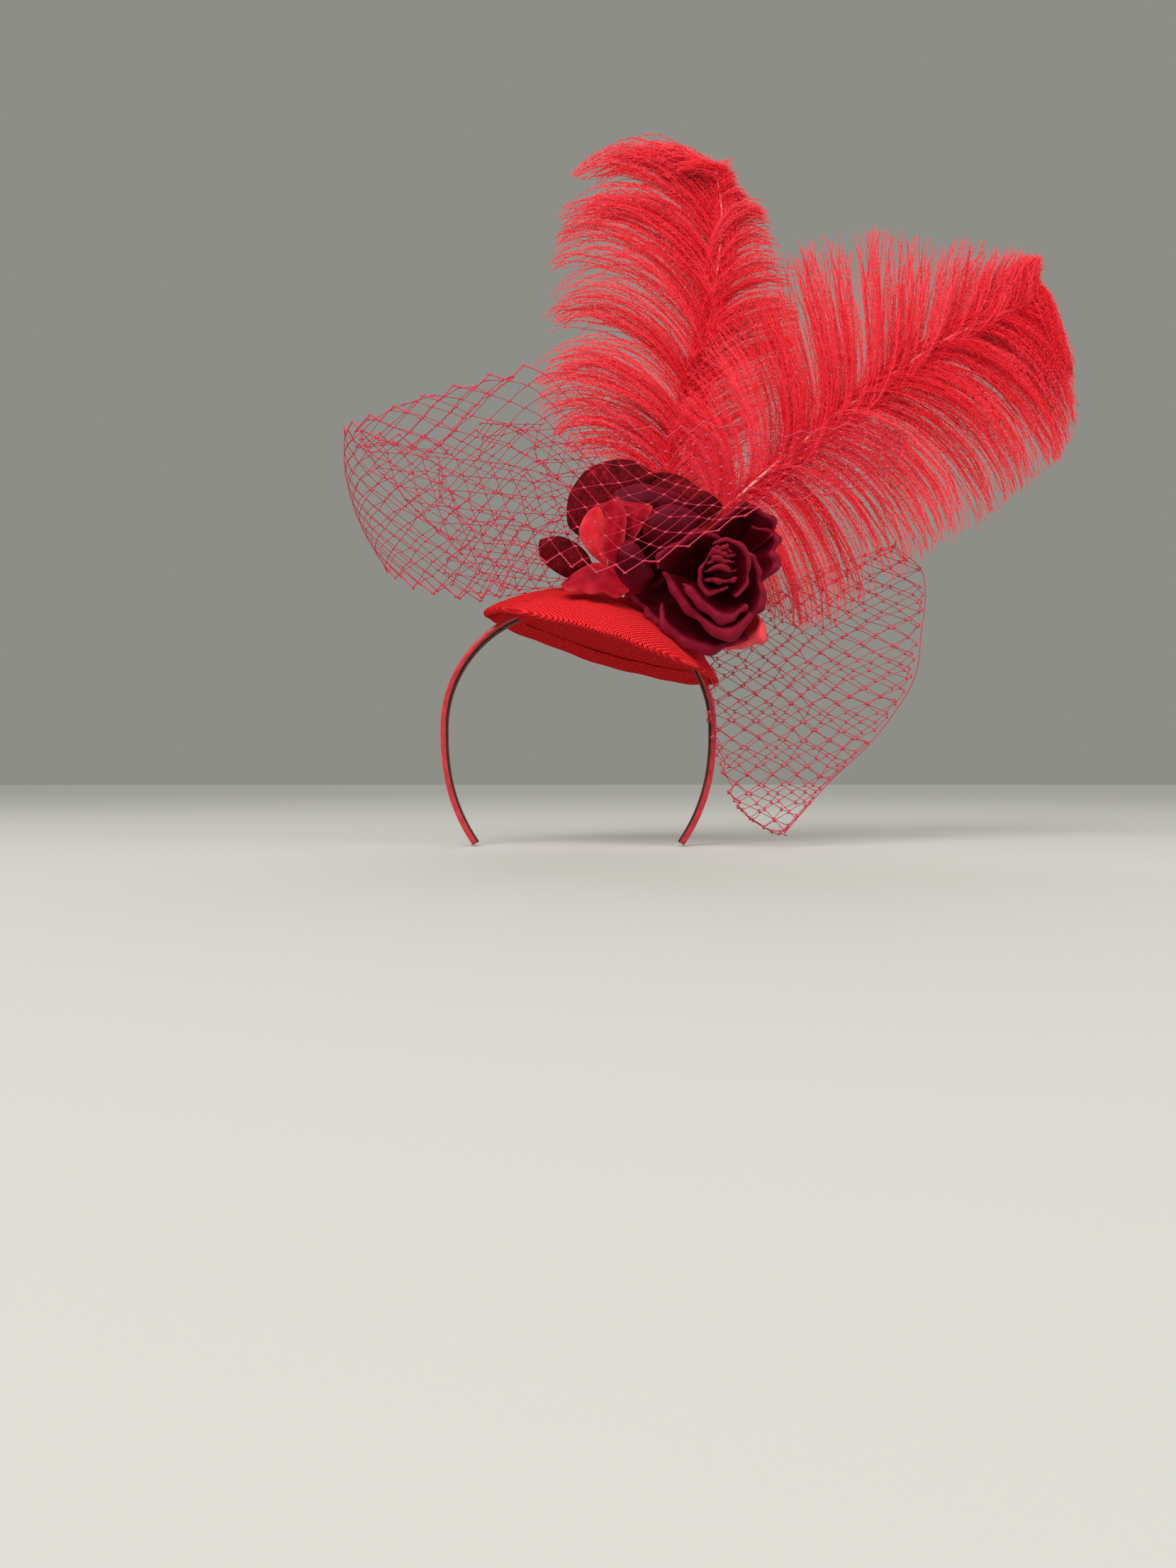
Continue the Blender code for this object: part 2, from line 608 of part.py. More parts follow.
def main():
    clear_scene()
    mats = {
        "satin": material("red_satin", (0.56, 0.012, 0.025), 0.35),
        "lining": material("velvet_lining", (0.028, 0.012, 0.006), 0.9),
        "core": material("band_plastic", (0.03, 0.02, 0.015), 0.5),
        "straw": material("woven_straw", (0.70, 0.015, 0.020), 0.55),
        "wire": material("steel_wire", (0.45, 0.44, 0.43), 0.35, 1.0),
        "pad": material("buckram", (0.50, 0.010, 0.015), 0.9),
        "burgundy": material("burgundy_satin", (0.10, 0.003, 0.010), 0.45),
        "coral": material("red_petal_satin", (0.50, 0.020, 0.030), 0.45),
        "velvet": material("velvet_leaf", (0.16, 0.002, 0.006), 0.85),
        "feather": material("ostrich_barbs", (0.85, 0.010, 0.025), 0.6),
        "quill": material("quill", (0.80, 0.22, 0.20), 0.4),
        "thread": material("binding_thread", (0.55, 0.010, 0.020), 0.6),
        "net": material("net_thread", (0.42, 0.012, 0.035), 0.5),
    }
    build_headband(mats)
    build_base(mats)
    build_rose("front_rose", FRONT_ROSE_HUB, FRONT_ROSE_AXIS, FRONT_ROSE_RADII, FRONT_ROSE_DEPTHS,
               pad_point(0.059, -0.019, 0.0016), mats, ("burgundy", "burgundy"))
    build_rose("back_rose", BACK_ROSE_HUB, BACK_ROSE_AXIS, BACK_ROSE_RADII, BACK_ROSE_DEPTHS,
               pad_point(0.034, -0.008, 0.0010), mats, ("burgundy", "coral"))
    for leaf in LEAVES:
        build_leaf(*leaf, mats)
    left_vanes = (("left", LEFT_PLUME_OUTER), ("right", LEFT_PLUME_INNER))
    right_vanes = (("upper", RIGHT_PLUME_UPPER), ("lower", RIGHT_PLUME_LOWER))
    build_plume("left_plume", LEFT_QUILL, left_vanes, mats)
    build_plume("right_plume", RIGHT_QUILL, right_vanes, mats)
    build_left_net(mats)
    build_right_net(mats)


main()
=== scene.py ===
"""The looks of the red fascinator headpiece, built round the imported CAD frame.

Metres, in the frame of the CAD: +Z up, +X to the wearer's left, -Y to the front. The origin is the middle
of the band's underside, at the crown of the head.
"""

import math

import bpy
import numpy as np
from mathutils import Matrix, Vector


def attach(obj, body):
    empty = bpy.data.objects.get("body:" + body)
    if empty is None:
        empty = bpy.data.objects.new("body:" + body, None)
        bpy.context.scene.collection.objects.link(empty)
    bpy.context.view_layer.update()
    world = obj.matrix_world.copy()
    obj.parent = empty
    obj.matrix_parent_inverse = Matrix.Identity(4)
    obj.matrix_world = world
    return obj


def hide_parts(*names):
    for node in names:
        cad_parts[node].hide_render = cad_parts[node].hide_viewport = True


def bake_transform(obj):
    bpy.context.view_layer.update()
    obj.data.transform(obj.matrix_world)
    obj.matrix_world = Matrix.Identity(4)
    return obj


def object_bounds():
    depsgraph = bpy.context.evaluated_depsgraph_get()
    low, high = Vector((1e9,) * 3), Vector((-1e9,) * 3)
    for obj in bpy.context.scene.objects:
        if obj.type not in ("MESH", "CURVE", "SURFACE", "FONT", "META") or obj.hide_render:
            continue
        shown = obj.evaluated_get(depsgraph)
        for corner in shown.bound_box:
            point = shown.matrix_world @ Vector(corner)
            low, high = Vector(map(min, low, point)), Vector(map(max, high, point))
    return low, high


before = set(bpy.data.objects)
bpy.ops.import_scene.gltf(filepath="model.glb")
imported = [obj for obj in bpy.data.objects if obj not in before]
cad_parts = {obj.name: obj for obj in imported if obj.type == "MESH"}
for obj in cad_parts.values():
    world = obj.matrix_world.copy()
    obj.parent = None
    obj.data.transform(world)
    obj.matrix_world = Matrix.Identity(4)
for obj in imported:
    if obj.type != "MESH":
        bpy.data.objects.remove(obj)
CAD_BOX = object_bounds()

MM = 0.001
FRONT = np.array((0.0, -1.0, 0.0))

# Camera and stage.
CAMERA_PLACE = (0.0054, -0.656, -0.0976)
CAMERA_LENS = 26.67
SENSOR = 36.0
FLOOR_RADIUS = 60.0
FLOOR_COLOR = (0.50, 0.50, 0.465)
SKY_COLOR = (0.27, 0.27, 0.245)
LIGHT_AIM = Vector((0.05, 0, 0.05))
SUN_SPREAD = math.radians(35)

# Headband, as in the CAD: half an ellipse down to the widest level, then two legs drawn in.
BAND_HALF_WIDTH = 0.0736
BAND_RISE = 0.066
BAND_WIDEST_Z = -0.066
BAND_TIP_Z = -0.130
BAND_TIP_DRAWN_IN = 0.0175
BAND_LEG_POWER = 2.5
BAND_CROWN_FLAT = 0.006
BAND_WIDTH_CROWN = 0.012
BAND_WIDTH_TIP = 0.006
BAND_STEPS = 200

# Base: a cap of a sphere, tilted down to +X.
BASE_RADIUS = 0.0958
BASE_CENTRE = np.array((-0.0062, 0.0, -0.0837))
BASE_AXIS = np.array((0.287, 0.0, 0.958)) / math.hypot(0.287, 0.958)
BASE_HALF_ANGLE = math.radians(44.4)
BINDING_ANGLE = math.radians(4.2)
BINDING_DEPTH = 0.0038
BINDING_NOSE = 0.0016
STRAW_SINK = 0.0009
STRAW_THICKNESS = 0.0007
SAUCER_STEPS = 260

# Plumes: quills, then outlines as (x, z).
LEFT_QUILL = (
    (0.044, 0.009, 0.003), (0.053, 0.023, 0.055), (0.0585, 0.0270, 0.082), (0.0725, 0.028, 0.149),
    (0.0785, 0.028, 0.183), (0.0835, 0.024, 0.230), (0.0795, 0.018, 0.259),
)
LEFT_PLUME_OUTER = (
    (0.030, 0.082), (-0.010, 0.102), (-0.022, 0.128), (-0.019, 0.160), (-0.012, 0.196),
    (-0.006, 0.234), (0.001, 0.257), (0.030, 0.269), (0.060, 0.260),
)
LEFT_PLUME_INNER = (
    (0.074, 0.068), (0.098, 0.104), (0.120, 0.142), (0.125, 0.170), (0.121, 0.196),
    (0.113, 0.222), (0.104, 0.238), (0.094, 0.250), (0.086, 0.262),
)
RIGHT_QUILL = (
    (0.049, -0.001, 0.006), (0.0675, -0.004, 0.042), (0.095, -0.005, 0.068), (0.130, -0.005, 0.0975),
    (0.169, -0.005, 0.127), (0.206, -0.006, 0.151), (0.240, -0.008, 0.166), (0.253, -0.009, 0.173),
)
RIGHT_PLUME_UPPER = (
    (0.060, 0.078), (0.056, 0.118), (0.074, 0.158), (0.102, 0.174), (0.124, 0.199),
    (0.158, 0.206), (0.203, 0.203), (0.236, 0.198), (0.256, 0.193),
)
RIGHT_PLUME_LOWER = (
    (0.094, 0.036), (0.103, 0.004), (0.126, -0.008), (0.155, 0.004), (0.190, 0.033),
    (0.220, 0.051), (0.249, 0.076), (0.270, 0.096), (0.272, 0.136),
)
QUILL_RADII = (0.0013, 0.00045)

# Netting.
NET_SIDE = 0.0095
NET_HALF_ANGLE = math.radians(33)
THREAD_RADIUS = 0.00019
SELVEDGE_RADIUS = 0.00034
HEM_RADIUS = SELVEDGE_RADIUS * 0.8
KNOT_HALF = np.array((0.0011, 0.0007, 0.00032))
THREAD_SIDES = 5
THREAD_TONE, SELVEDGE_TONE, KNOT_TONE = 0.3, 0.75, 0.9
NET_GRID = (240, 40)
MESH_WOBBLE = 0.09


# ------------------------------------------------------------ mesh tools


def unit(v):
    return v / np.maximum(np.linalg.norm(v, axis=-1, keepdims=True), 1e-12)


def spline(points, count):
    """A Catmull-Rom curve through the points, read at evenly spaced parameters."""
    pts = np.array(points, float)
    pts = np.vstack([2 * pts[0] - pts[1], pts, 2 * pts[-1] - pts[-2]])
    read = np.linspace(0, len(pts) - 3, count)
    start = np.minimum(read.astype(int), len(pts) - 4)
    t = (read - start)[:, None]
    a, b, c, d = (pts[start + k] for k in range(4))
    return 0.5 * (2 * b + (c - a) * t + (2 * a - 5 * b + 4 * c - d) * t**2 + (3 * b - a - 3 * c + d) * t**3)


def mesh_object(name, verts, faces, mat, values=None, smooth=True):
    """A mesh of faces with equally many corners, with float attributes from values."""
    verts, faces = np.asarray(verts, np.float32), np.asarray(faces, np.int32)
    mesh = bpy.data.meshes.new(name)
    mesh.vertices.add(len(verts))
    mesh.vertices.foreach_set("co", verts.ravel())
    mesh.loops.add(faces.size)
    mesh.loops.foreach_set("vertex_index", faces.ravel())
    mesh.polygons.add(len(faces))
    mesh.polygons.foreach_set("loop_start", np.arange(len(faces), dtype=np.int32) * faces.shape[1])
    mesh.update(calc_edges=True)
    mesh.validate()
    for key, value in (values or {}).items():
        layer = mesh.attributes.new(key, "FLOAT", "POINT")
        layer.data.foreach_set("value", np.asarray(value, np.float32).ravel())
    if smooth:
        mesh.shade_smooth()
    mesh.materials.append(mat)
    obj = bpy.data.objects.new(name, mesh)
    bpy.context.scene.collection.objects.link(obj)
    return obj


def tube_parts(paths, radii, sides, reference, closed_ends=False):
    """Verts and triangles of many tubes: paths is (tubes, points, 3), and radii fits (tubes, points)."""
    paths = np.asarray(paths, float)
    count, length = paths.shape[:2]
    along = unit(np.gradient(paths, axis=1))
    across = unit(np.cross(along, np.broadcast_to(reference, paths.shape)))
    other = np.cross(along, across)
    turn = np.arange(sides) * math.tau / sides
    ring = (across[:, :, None] * np.cos(turn)[:, None] + other[:, :, None] * np.sin(turn)[:, None])
    radii = np.broadcast_to(radii, (count, length))
    verts = paths[:, :, None] + ring * radii[:, :, None, None]
    index = np.arange(count * length * sides).reshape(count, length, sides)
    low, high = index[:, :-1], index[:, 1:]
    low2, high2 = np.roll(low, -1, axis=2), np.roll(high, -1, axis=2)
    faces = np.stack([low, high, high2, low, high2, low2], axis=-1).reshape(-1, 3)
    if closed_ends:
        caps = []
        for k in range(1, sides - 1):
            caps.append(np.stack([index[:, 0, 0], index[:, 0, k], index[:, 0, k + 1]], axis=-1))
            caps.append(np.stack([index[:, -1, 0], index[:, -1, k + 1], index[:, -1, k]], axis=-1))
        faces = np.vstack([faces, *caps])
    return verts.reshape(-1, 3), faces


def tube_object(name, path, radii, sides, mat, reference=FRONT):
    verts, faces = tube_parts([path], [radii], sides, reference, closed_ends=True)
    return mesh_object(name, verts, faces, mat)


def join_parts(parts):
    """Joins (verts, faces) pairs into one."""
    verts, faces, base = [], [], 0
    for v, f in parts:
        verts.append(v)
        faces.append(f + base)
        base += len(v)
    return np.vstack(verts), np.vstack(faces)


def grid_faces(rows, cols, wraps=False):
    index = np.arange(rows * cols).reshape(rows, cols)
    low = index if wraps else index[:-1]
    high = np.roll(index, -1, axis=0) if wraps else index[1:]
    return np.stack([low[:, :-1], high[:, :-1], high[:, 1:], low[:, 1:]], axis=-1).reshape(-1, 4)


def thicken(obj, thickness, offset=0.0, levels=0):
    solid = obj.modifiers.new("thickness", "SOLIDIFY")
    solid.thickness = thickness
    solid.offset = offset
    solid.use_quality_normals = True
    if levels:
        smooth = obj.modifiers.new("smooth", "SUBSURF")
        smooth.levels = levels
        smooth.render_levels = levels


# ------------------------------------------------------------- materials


class Paint:
    """A Principled material and short ways to add nodes to it."""

    def __init__(self, name, roughness, **sockets):
        self.mat = bpy.data.materials.new(name)
        self.mat.use_nodes = True
        self.tree = self.mat.node_tree
        self.shader = self.tree.nodes["Principled BSDF"]
        self.shader.inputs["Roughness"].default_value = roughness
        for key, value in sockets.items():
            self.shader.inputs[key.replace("_", " ")].default_value = value

    def node(self, kind, settings=None, **inputs):
        made = self.tree.nodes.new("ShaderNode" + kind)
        for key, value in (settings or {}).items():
            setattr(made, key, value)
        for key, value in inputs.items():
            self.feed(made.inputs[key.replace("_", " ")], value)
        return made

    def feed(self, socket, value):
        if isinstance(value, bpy.types.NodeSocket):
            self.tree.links.new(value, socket)
        else:
            socket.default_value = value

    def coords(self, scale=(1, 1, 1), rotation=(0, 0, 0)):
        place = self.node("TexCoord").outputs["Object"]
        return self.node("Mapping", Vector=place, Scale=scale, Rotation=rotation).outputs["Vector"]

    def noise(self, scale, detail=3.0, vector=None, roughness=0.5):
        vector = vector or self.coords()
        made = self.node("TexNoise", Vector=vector, Scale=scale, Detail=detail, Roughness=roughness)
        return made.outputs["Fac"]

    def wave(self, scale, vector, direction="X", distortion=0.0, detail=0.0):
        made = self.node("TexWave", {"bands_direction": direction}, Vector=vector, Scale=scale,
                         Distortion=distortion, Detail=detail)
        return made.outputs["Fac"]

    def attribute(self, name):
        return self.node("Attribute", {"attribute_name": name}).outputs["Fac"]

    def math(self, operation, a, b):
        made = self.node("Math", {"operation": operation})
        self.feed(made.inputs[0], a)
        self.feed(made.inputs[1], b)
        return made.outputs[0]

    def ramp(self, value, stops):
        made = self.node("ValToRGB", Fac=value)
        points = made.color_ramp.elements
        while len(points) < len(stops):
            points.new(0.5)
        for point, (place, color) in zip(points, stops):
            point.position = place
            point.color = (*color, 1.0)
        return made.outputs["Color"]

    def color(self, value, stops):
        self.feed(self.shader.inputs["Base Color"], self.ramp(value, stops))

    def bump(self, height, strength, distance):
        made = self.node("Bump", Height=height, Strength=strength, Distance=distance)
        self.feed(self.shader.inputs["Normal"], made.outputs["Normal"])

    def rough(self, value, low, high):
        made = self.node("MapRange", Value=value, To_Min=low, To_Max=high)
        self.feed(self.shader.inputs["Roughness"], made.outputs["Result"])


def mix_values(paint, a, b, share):
    """a and b blended by a fixed share."""
    return paint.math("ADD", paint.math("MULTIPLY", a, 1 - share), paint.math("MULTIPLY", b, share))


def feather_material():
    paint = Paint("ostrich_barbs", 0.6, Specular_IOR_Level=0.25)
    # The tone attribute holds random lock and barb tone plus painted shade and light: darker toward the barb
    # roots by the quill, lighter toward the tips.
    tone = mix_values(paint, paint.attribute("tone"), paint.noise(60.0), 0.25)
    stops = ((0.12, (0.32, 0.0, 0.004)), (0.46, (0.86, 0.004, 0.020)), (0.80, (1.0, 0.050, 0.078)))
    paint.color(tone, stops)
    return paint.mat


def quill_material():
    paint = Paint("quill_horn", 0.35, Coat_Weight=0.3)
    streaks = paint.noise(400.0, vector=paint.coords(scale=(1, 1, 0.08)))
    paint.color(streaks, ((0.3, (0.80, 0.13, 0.12)), (0.7, (0.93, 0.30, 0.25))))
    paint.bump(streaks, 0.3, 0.0002)
    return paint.mat


def net_material():
    paint = Paint("net_thread", 0.55, Specular_IOR_Level=0.12)
    twist = paint.wave(900.0, paint.coords(rotation=(0.4, 0.6, 0.5)), distortion=1.0)
    tone = mix_values(paint, paint.attribute("knot"), paint.noise(90.0), 0.35)
    stops = ((0.1, (0.34, 0.016, 0.040)), (0.45, (0.50, 0.024, 0.058)), (0.9, (0.78, 0.075, 0.115)))
    paint.color(tone, stops)
    paint.bump(twist, 0.35, 0.0001)
    return paint.mat


def weave(paint, pitch, tilt=0.0, turn=45.0):
    """Two crossed sets of ridges, as of woven threads, in the plane across the tilted axis."""
    flat = paint.coords(rotation=(0.0, tilt, 0.0))
    scale = math.tau / pitch / 20
    turned = paint.node("Mapping", Vector=flat, Rotation=(0, 0, math.radians(turn))).outputs["Vector"]
    one = paint.wave(scale, turned, "X", distortion=0.6, detail=1.0)
    two = paint.wave(scale, turned, "Y", distortion=0.6, detail=1.0)
    return paint.math("MAXIMUM", one, two), paint.math("MULTIPLY", one, two)


def straw_material():
    paint = Paint("woven_straw", 0.7, Specular_IOR_Level=0.0)
    tilt = -math.atan2(BASE_AXIS[0], BASE_AXIS[2])
    ridges, crossings = weave(paint, 0.0013, tilt)
    fibre = paint.noise(900.0, detail=4.0)
    # The colour ramp paints light and shade into the weave. Its darkest stop in the grooves is painted shade.
    # Its lightest stop on the ridges is a painted highlight in place of the glossy fibres' sheen, since the
    # specular level is 0.
    tone = mix_values(paint, ridges, fibre, 0.4)
    stops = ((0.25, (0.16, 0.001, 0.003)), (0.55, (0.62, 0.010, 0.016)), (0.85, (0.86, 0.036, 0.040)))
    paint.color(tone, stops)
    paint.bump(mix_values(paint, ridges, fibre, 0.3), 1.0, 0.0006)
    paint.rough(fibre, 0.5, 0.8)
    return paint.mat


def satin_material():
    paint = Paint("red_satin", 0.3, Sheen_Weight=0.3, Anisotropic=0.5)
    threads = paint.wave(1500.0, paint.coords(), "Y", distortion=0.5)
    folds = paint.noise(120.0, vector=paint.coords(scale=(1, 0.25, 1)))
    stops = ((0.2, (0.34, 0.006, 0.014)), (0.6, (0.60, 0.014, 0.028)), (0.9, (0.74, 0.05, 0.06)))
    paint.color(mix_values(paint, folds, threads, 0.25), stops)
    paint.bump(mix_values(paint, folds, threads, 0.3), 0.35, 0.0003)
    paint.rough(folds, 0.25, 0.42)
    return paint.mat


def lining_material():
    paint = Paint("velvet_lining", 0.9, Sheen_Weight=0.8, Sheen_Roughness=0.4)
    paint.shader.inputs["Sheen Tint"].default_value = (0.35, 0.16, 0.10, 1.0)
    pile = paint.noise(2600.0, detail=2.0)
    wear = paint.noise(70.0)
    stops = ((0.3, (0.014, 0.005, 0.003)), (0.7, (0.055, 0.022, 0.012)))
    paint.color(mix_values(paint, pile, wear, 0.5), stops)
    paint.bump(pile, 0.5, 0.0003)
    return paint.mat


def petal_material(name, dark, middle, light):
    """Satin petal cloth with painted light: the rim attribute makes it lighter and pinker where its rim turns
    over, a painted highlight, and darkest deep in the cup, painted shade.
    """
    paint = Paint(name, 0.5, Specular_IOR_Level=0.35)
    paint.shader.inputs["Specular Tint"].default_value = (1.0, 0.12, 0.20, 1.0)
    veins = paint.noise(130.0, detail=5.0, roughness=0.6)
    threads, _ = weave(paint, 0.0004)
    # The rim attribute is painted light and shade, added to the random veins.
    turned = paint.math("MULTIPLY", paint.attribute("rim"), 0.62)
    tone = paint.math("ADD", turned, paint.math("MULTIPLY", veins, 0.6))
    paint.color(tone, ((0.18, dark), (0.45, middle), (0.95, light)))
    paint.bump(mix_values(paint, veins, threads, 0.25), 0.35, 0.0005)
    paint.rough(veins, 0.38, 0.62)
    return paint.mat


def velvet_material():
    paint = Paint("velvet_leaf", 0.85, Sheen_Weight=0.15, Sheen_Roughness=0.3, Specular_IOR_Level=0.1)
    paint.shader.inputs["Sheen Tint"].default_value = (0.65, 0.03, 0.06, 1.0)
    crush = paint.noise(420.0, detail=6.0, roughness=0.7)
    patches = paint.noise(90.0)
    tone = mix_values(paint, crush, patches, 0.4)
    stops = ((0.38, (0.035, 0.0, 0.001)), (0.54, (0.15, 0.001, 0.005)), (0.68, (0.40, 0.008, 0.020)))
    paint.color(tone, stops)
    paint.bump(crush, 0.8, 0.0008)
    return paint.mat


def plain_weave_material(name, low, high, pitch, roughness):
    paint = Paint(name, roughness)
    ridges, _ = weave(paint, pitch)
    grain = paint.noise(500.0)
    paint.color(mix_values(paint, ridges, grain, 0.4), ((0.2, low), (0.8, high)))
    paint.bump(ridges, 0.6, 0.0004)
    return paint.mat


def wire_material():
    paint = Paint("steel_wire", 0.5, Metallic=0.9)
    drawn = paint.noise(700.0, vector=paint.coords(scale=(1, 1, 0.1)))
    paint.color(drawn, ((0.2, (0.20, 0.19, 0.18)), (0.8, (0.40, 0.39, 0.37))))
    paint.rough(drawn, 0.4, 0.65)
    paint.bump(drawn, 0.2, 0.0001)
    return paint.mat


def plastic_material():
    paint = Paint("band_plastic", 0.5)
    grain = paint.noise(800.0)
    paint.color(grain, ((0.2, (0.018, 0.012, 0.009)), (0.8, (0.045, 0.032, 0.024))))
    paint.rough(grain, 0.4, 0.6)
    paint.bump(grain, 0.2, 0.0002)
    return paint.mat


def floor_material():
    paint = Paint("studio_floor", 0.9)
    paint.color(paint.noise(3.0), ((0.0, FLOOR_COLOR), (1.0, FLOOR_COLOR)))
    return paint.mat


# ----------------------------------------------------------------- stage


def build_camera():
    data = bpy.data.cameras.new("front_view")
    data.lens = CAMERA_LENS
    data.sensor_width = SENSOR
    data.clip_start = 0.01
    obj = bpy.data.objects.new("front_view", data)
    obj.location = CAMERA_PLACE
    obj.rotation_euler = (math.radians(90), 0, 0)
    bpy.context.scene.collection.objects.link(obj)
    bpy.context.scene.camera = obj


def build_light(name, place, size, power):
    data = bpy.data.lights.new(name, "AREA")
    data.energy = power
    data.size = size
    obj = bpy.data.objects.new(name, data)
    obj.location = place
    obj.rotation_euler = (LIGHT_AIM - Vector(place)).to_track_quat("-Z", "Y").to_euler()
    bpy.context.scene.collection.objects.link(obj)


def build_sun(name, turn, power):
    data = bpy.data.lights.new(name, "SUN")
    data.energy = power
    data.angle = SUN_SPREAD
    obj = bpy.data.objects.new(name, data)
    obj.rotation_euler = [math.radians(angle) for angle in turn]
    bpy.context.scene.collection.objects.link(obj)


def build_stage():
    low = CAD_BOX[0].z - 0.0005
    turns = np.linspace(0, math.tau, 64, endpoint=False)
    verts = [(FLOOR_RADIUS * math.cos(t), FLOOR_RADIUS * math.sin(t), low) for t in turns]
    floor = mesh_object("floor", verts, [list(range(64))], floor_material())
    world = bpy.data.worlds.new("studio")
    world.use_nodes = True
    sky = world.node_tree.nodes["Background"]
    sky.inputs["Color"].default_value = (*SKY_COLOR, 1.0)
    sky.inputs["Strength"].default_value = 1.0
    bpy.context.scene.world = world
    bpy.context.scene.view_settings.view_transform = "Standard"
    build_light("key", (-0.7, -1.3, 1.3), 1.0, 30.0)
    build_light("fill", (1.3, -0.9, 0.6), 1.2, 8.0)
    build_sun("front_sun", (35, 0, 0), 0.8)
    build_sun("back_sun", (-50, 15, 0), 0.8)


# --------------------------------------------------------------- netting


def net_surface(rails, rows, cols):
    """A dense grid through the rails: along them by length, then across them."""
    lines = np.array([spline(rail, rows) for rail in rails])
    middle = lines[len(lines) // 2]
    run = np.concatenate([[0], np.cumsum(np.linalg.norm(np.diff(middle, axis=0), axis=1))])
    even = np.interp(np.linspace(0, run[-1], rows), run, np.arange(rows))
    low = np.minimum(even.astype(int), rows - 2)
    lines = lines[:, low] * (1 - (even - low))[:, None] + lines[:, low + 1] * (even - low)[:, None]
    grid = np.array([spline(lines[:, k], cols) for k in range(rows)])
    return grid, run[-1]


def read_grid(grid, u, v):
    """The grid's points at parameters u and v, each from 0 to 1."""
    rows, cols = grid.shape[:2]
    r, c = np.clip(u, 0, 1) * (rows - 1), np.clip(v, 0, 1) * (cols - 1)
    i, j = np.minimum(r.astype(int), rows - 2), np.minimum(c.astype(int), cols - 2)
    a, b = (r - i)[..., None], (c - j)[..., None]
    return ((grid[i, j] * (1 - a) + grid[i + 1, j] * a) * (1 - b)
            + (grid[i, j + 1] * (1 - a) + grid[i + 1, j + 1] * a) * b)


def grid_normal(grid, u, v):
    step = 0.01
    du = read_grid(grid, np.minimum(u + step, 1), v) - read_grid(grid, np.maximum(u - step, 0), v)
    dv = read_grid(grid, u, np.minimum(v + step, 1)) - read_grid(grid, u, np.maximum(v - step, 0))
    return unit(np.cross(du, dv)), unit(du)


def knot_parts(places, normals, alongs):
    """A small flat bow-tie knot at each place."""
    sides = np.cross(normals, alongs)
    shape = np.array([(-1, -1, 0), (-1, 1, 0), (0, 0.55, 1), (1, 1, 0), (1, -1, 0), (0, -0.55, 1),
                      (0, 0.55, -1), (0, -0.55, -1)]) * KNOT_HALF
    faces = np.array([(0, 1, 2), (0, 2, 5), (5, 2, 3), (5, 3, 4), (1, 0, 7), (1, 7, 6), (6, 7, 4), (6, 4, 3),
                      (1, 6, 2), (2, 6, 3), (0, 5, 7), (5, 4, 7)])
    verts = (places[:, None] + shape[:, 0:1] * alongs[:, None] + shape[:, 1:2] * sides[:, None]
             + shape[:, 2:3] * normals[:, None])
    every = faces[None] + (np.arange(len(places)) * len(shape))[:, None, None]
    return verts.reshape(-1, 3), every.reshape(-1, 3)


def inside(outline, places):
    """Which places lie inside an outline, both seen from the front."""
    x, z = places[..., 0], places[..., 2]
    odd = np.zeros(x.shape, bool)
    points = np.array(outline)
    for (ax, az), (bx, bz) in zip(points, np.roll(points, -1, axis=0)):
        crosses = (az > z) != (bz > z)
        reach = ax + (z - az) / (bz - az if bz != az else 1e-9) * (bx - ax)
        odd ^= crosses & (x < reach)
    return odd


def drawn_to(outline, places):
    """Which places lie inside the outline or just outside, and the places with the latter drawn onto it."""
    flat = places[..., [0, 2]]
    points = np.array(outline)
    best = np.full(flat.shape[:-1], np.inf)
    nearest = flat.copy()
    for a, b in zip(points, np.roll(points, -1, axis=0)):
        share = np.clip(((flat - a) @ (b - a)) / max((b - a) @ (b - a), 1e-12), 0, 1)
        foot = a + share[..., None] * (b - a)
        gap = np.linalg.norm(flat - foot, axis=-1)
        closer = gap < best
        best = np.where(closer, gap, best)
        nearest = np.where(closer[..., None], foot, nearest)
    within = inside(outline, places)
    near = ~within & (best < NET_SIDE * 0.75)
    moved = places.copy()
    moved[..., 0] = np.where(near, nearest[..., 0], places[..., 0])
    moved[..., 2] = np.where(near, nearest[..., 1], places[..., 2])
    return within | near, moved


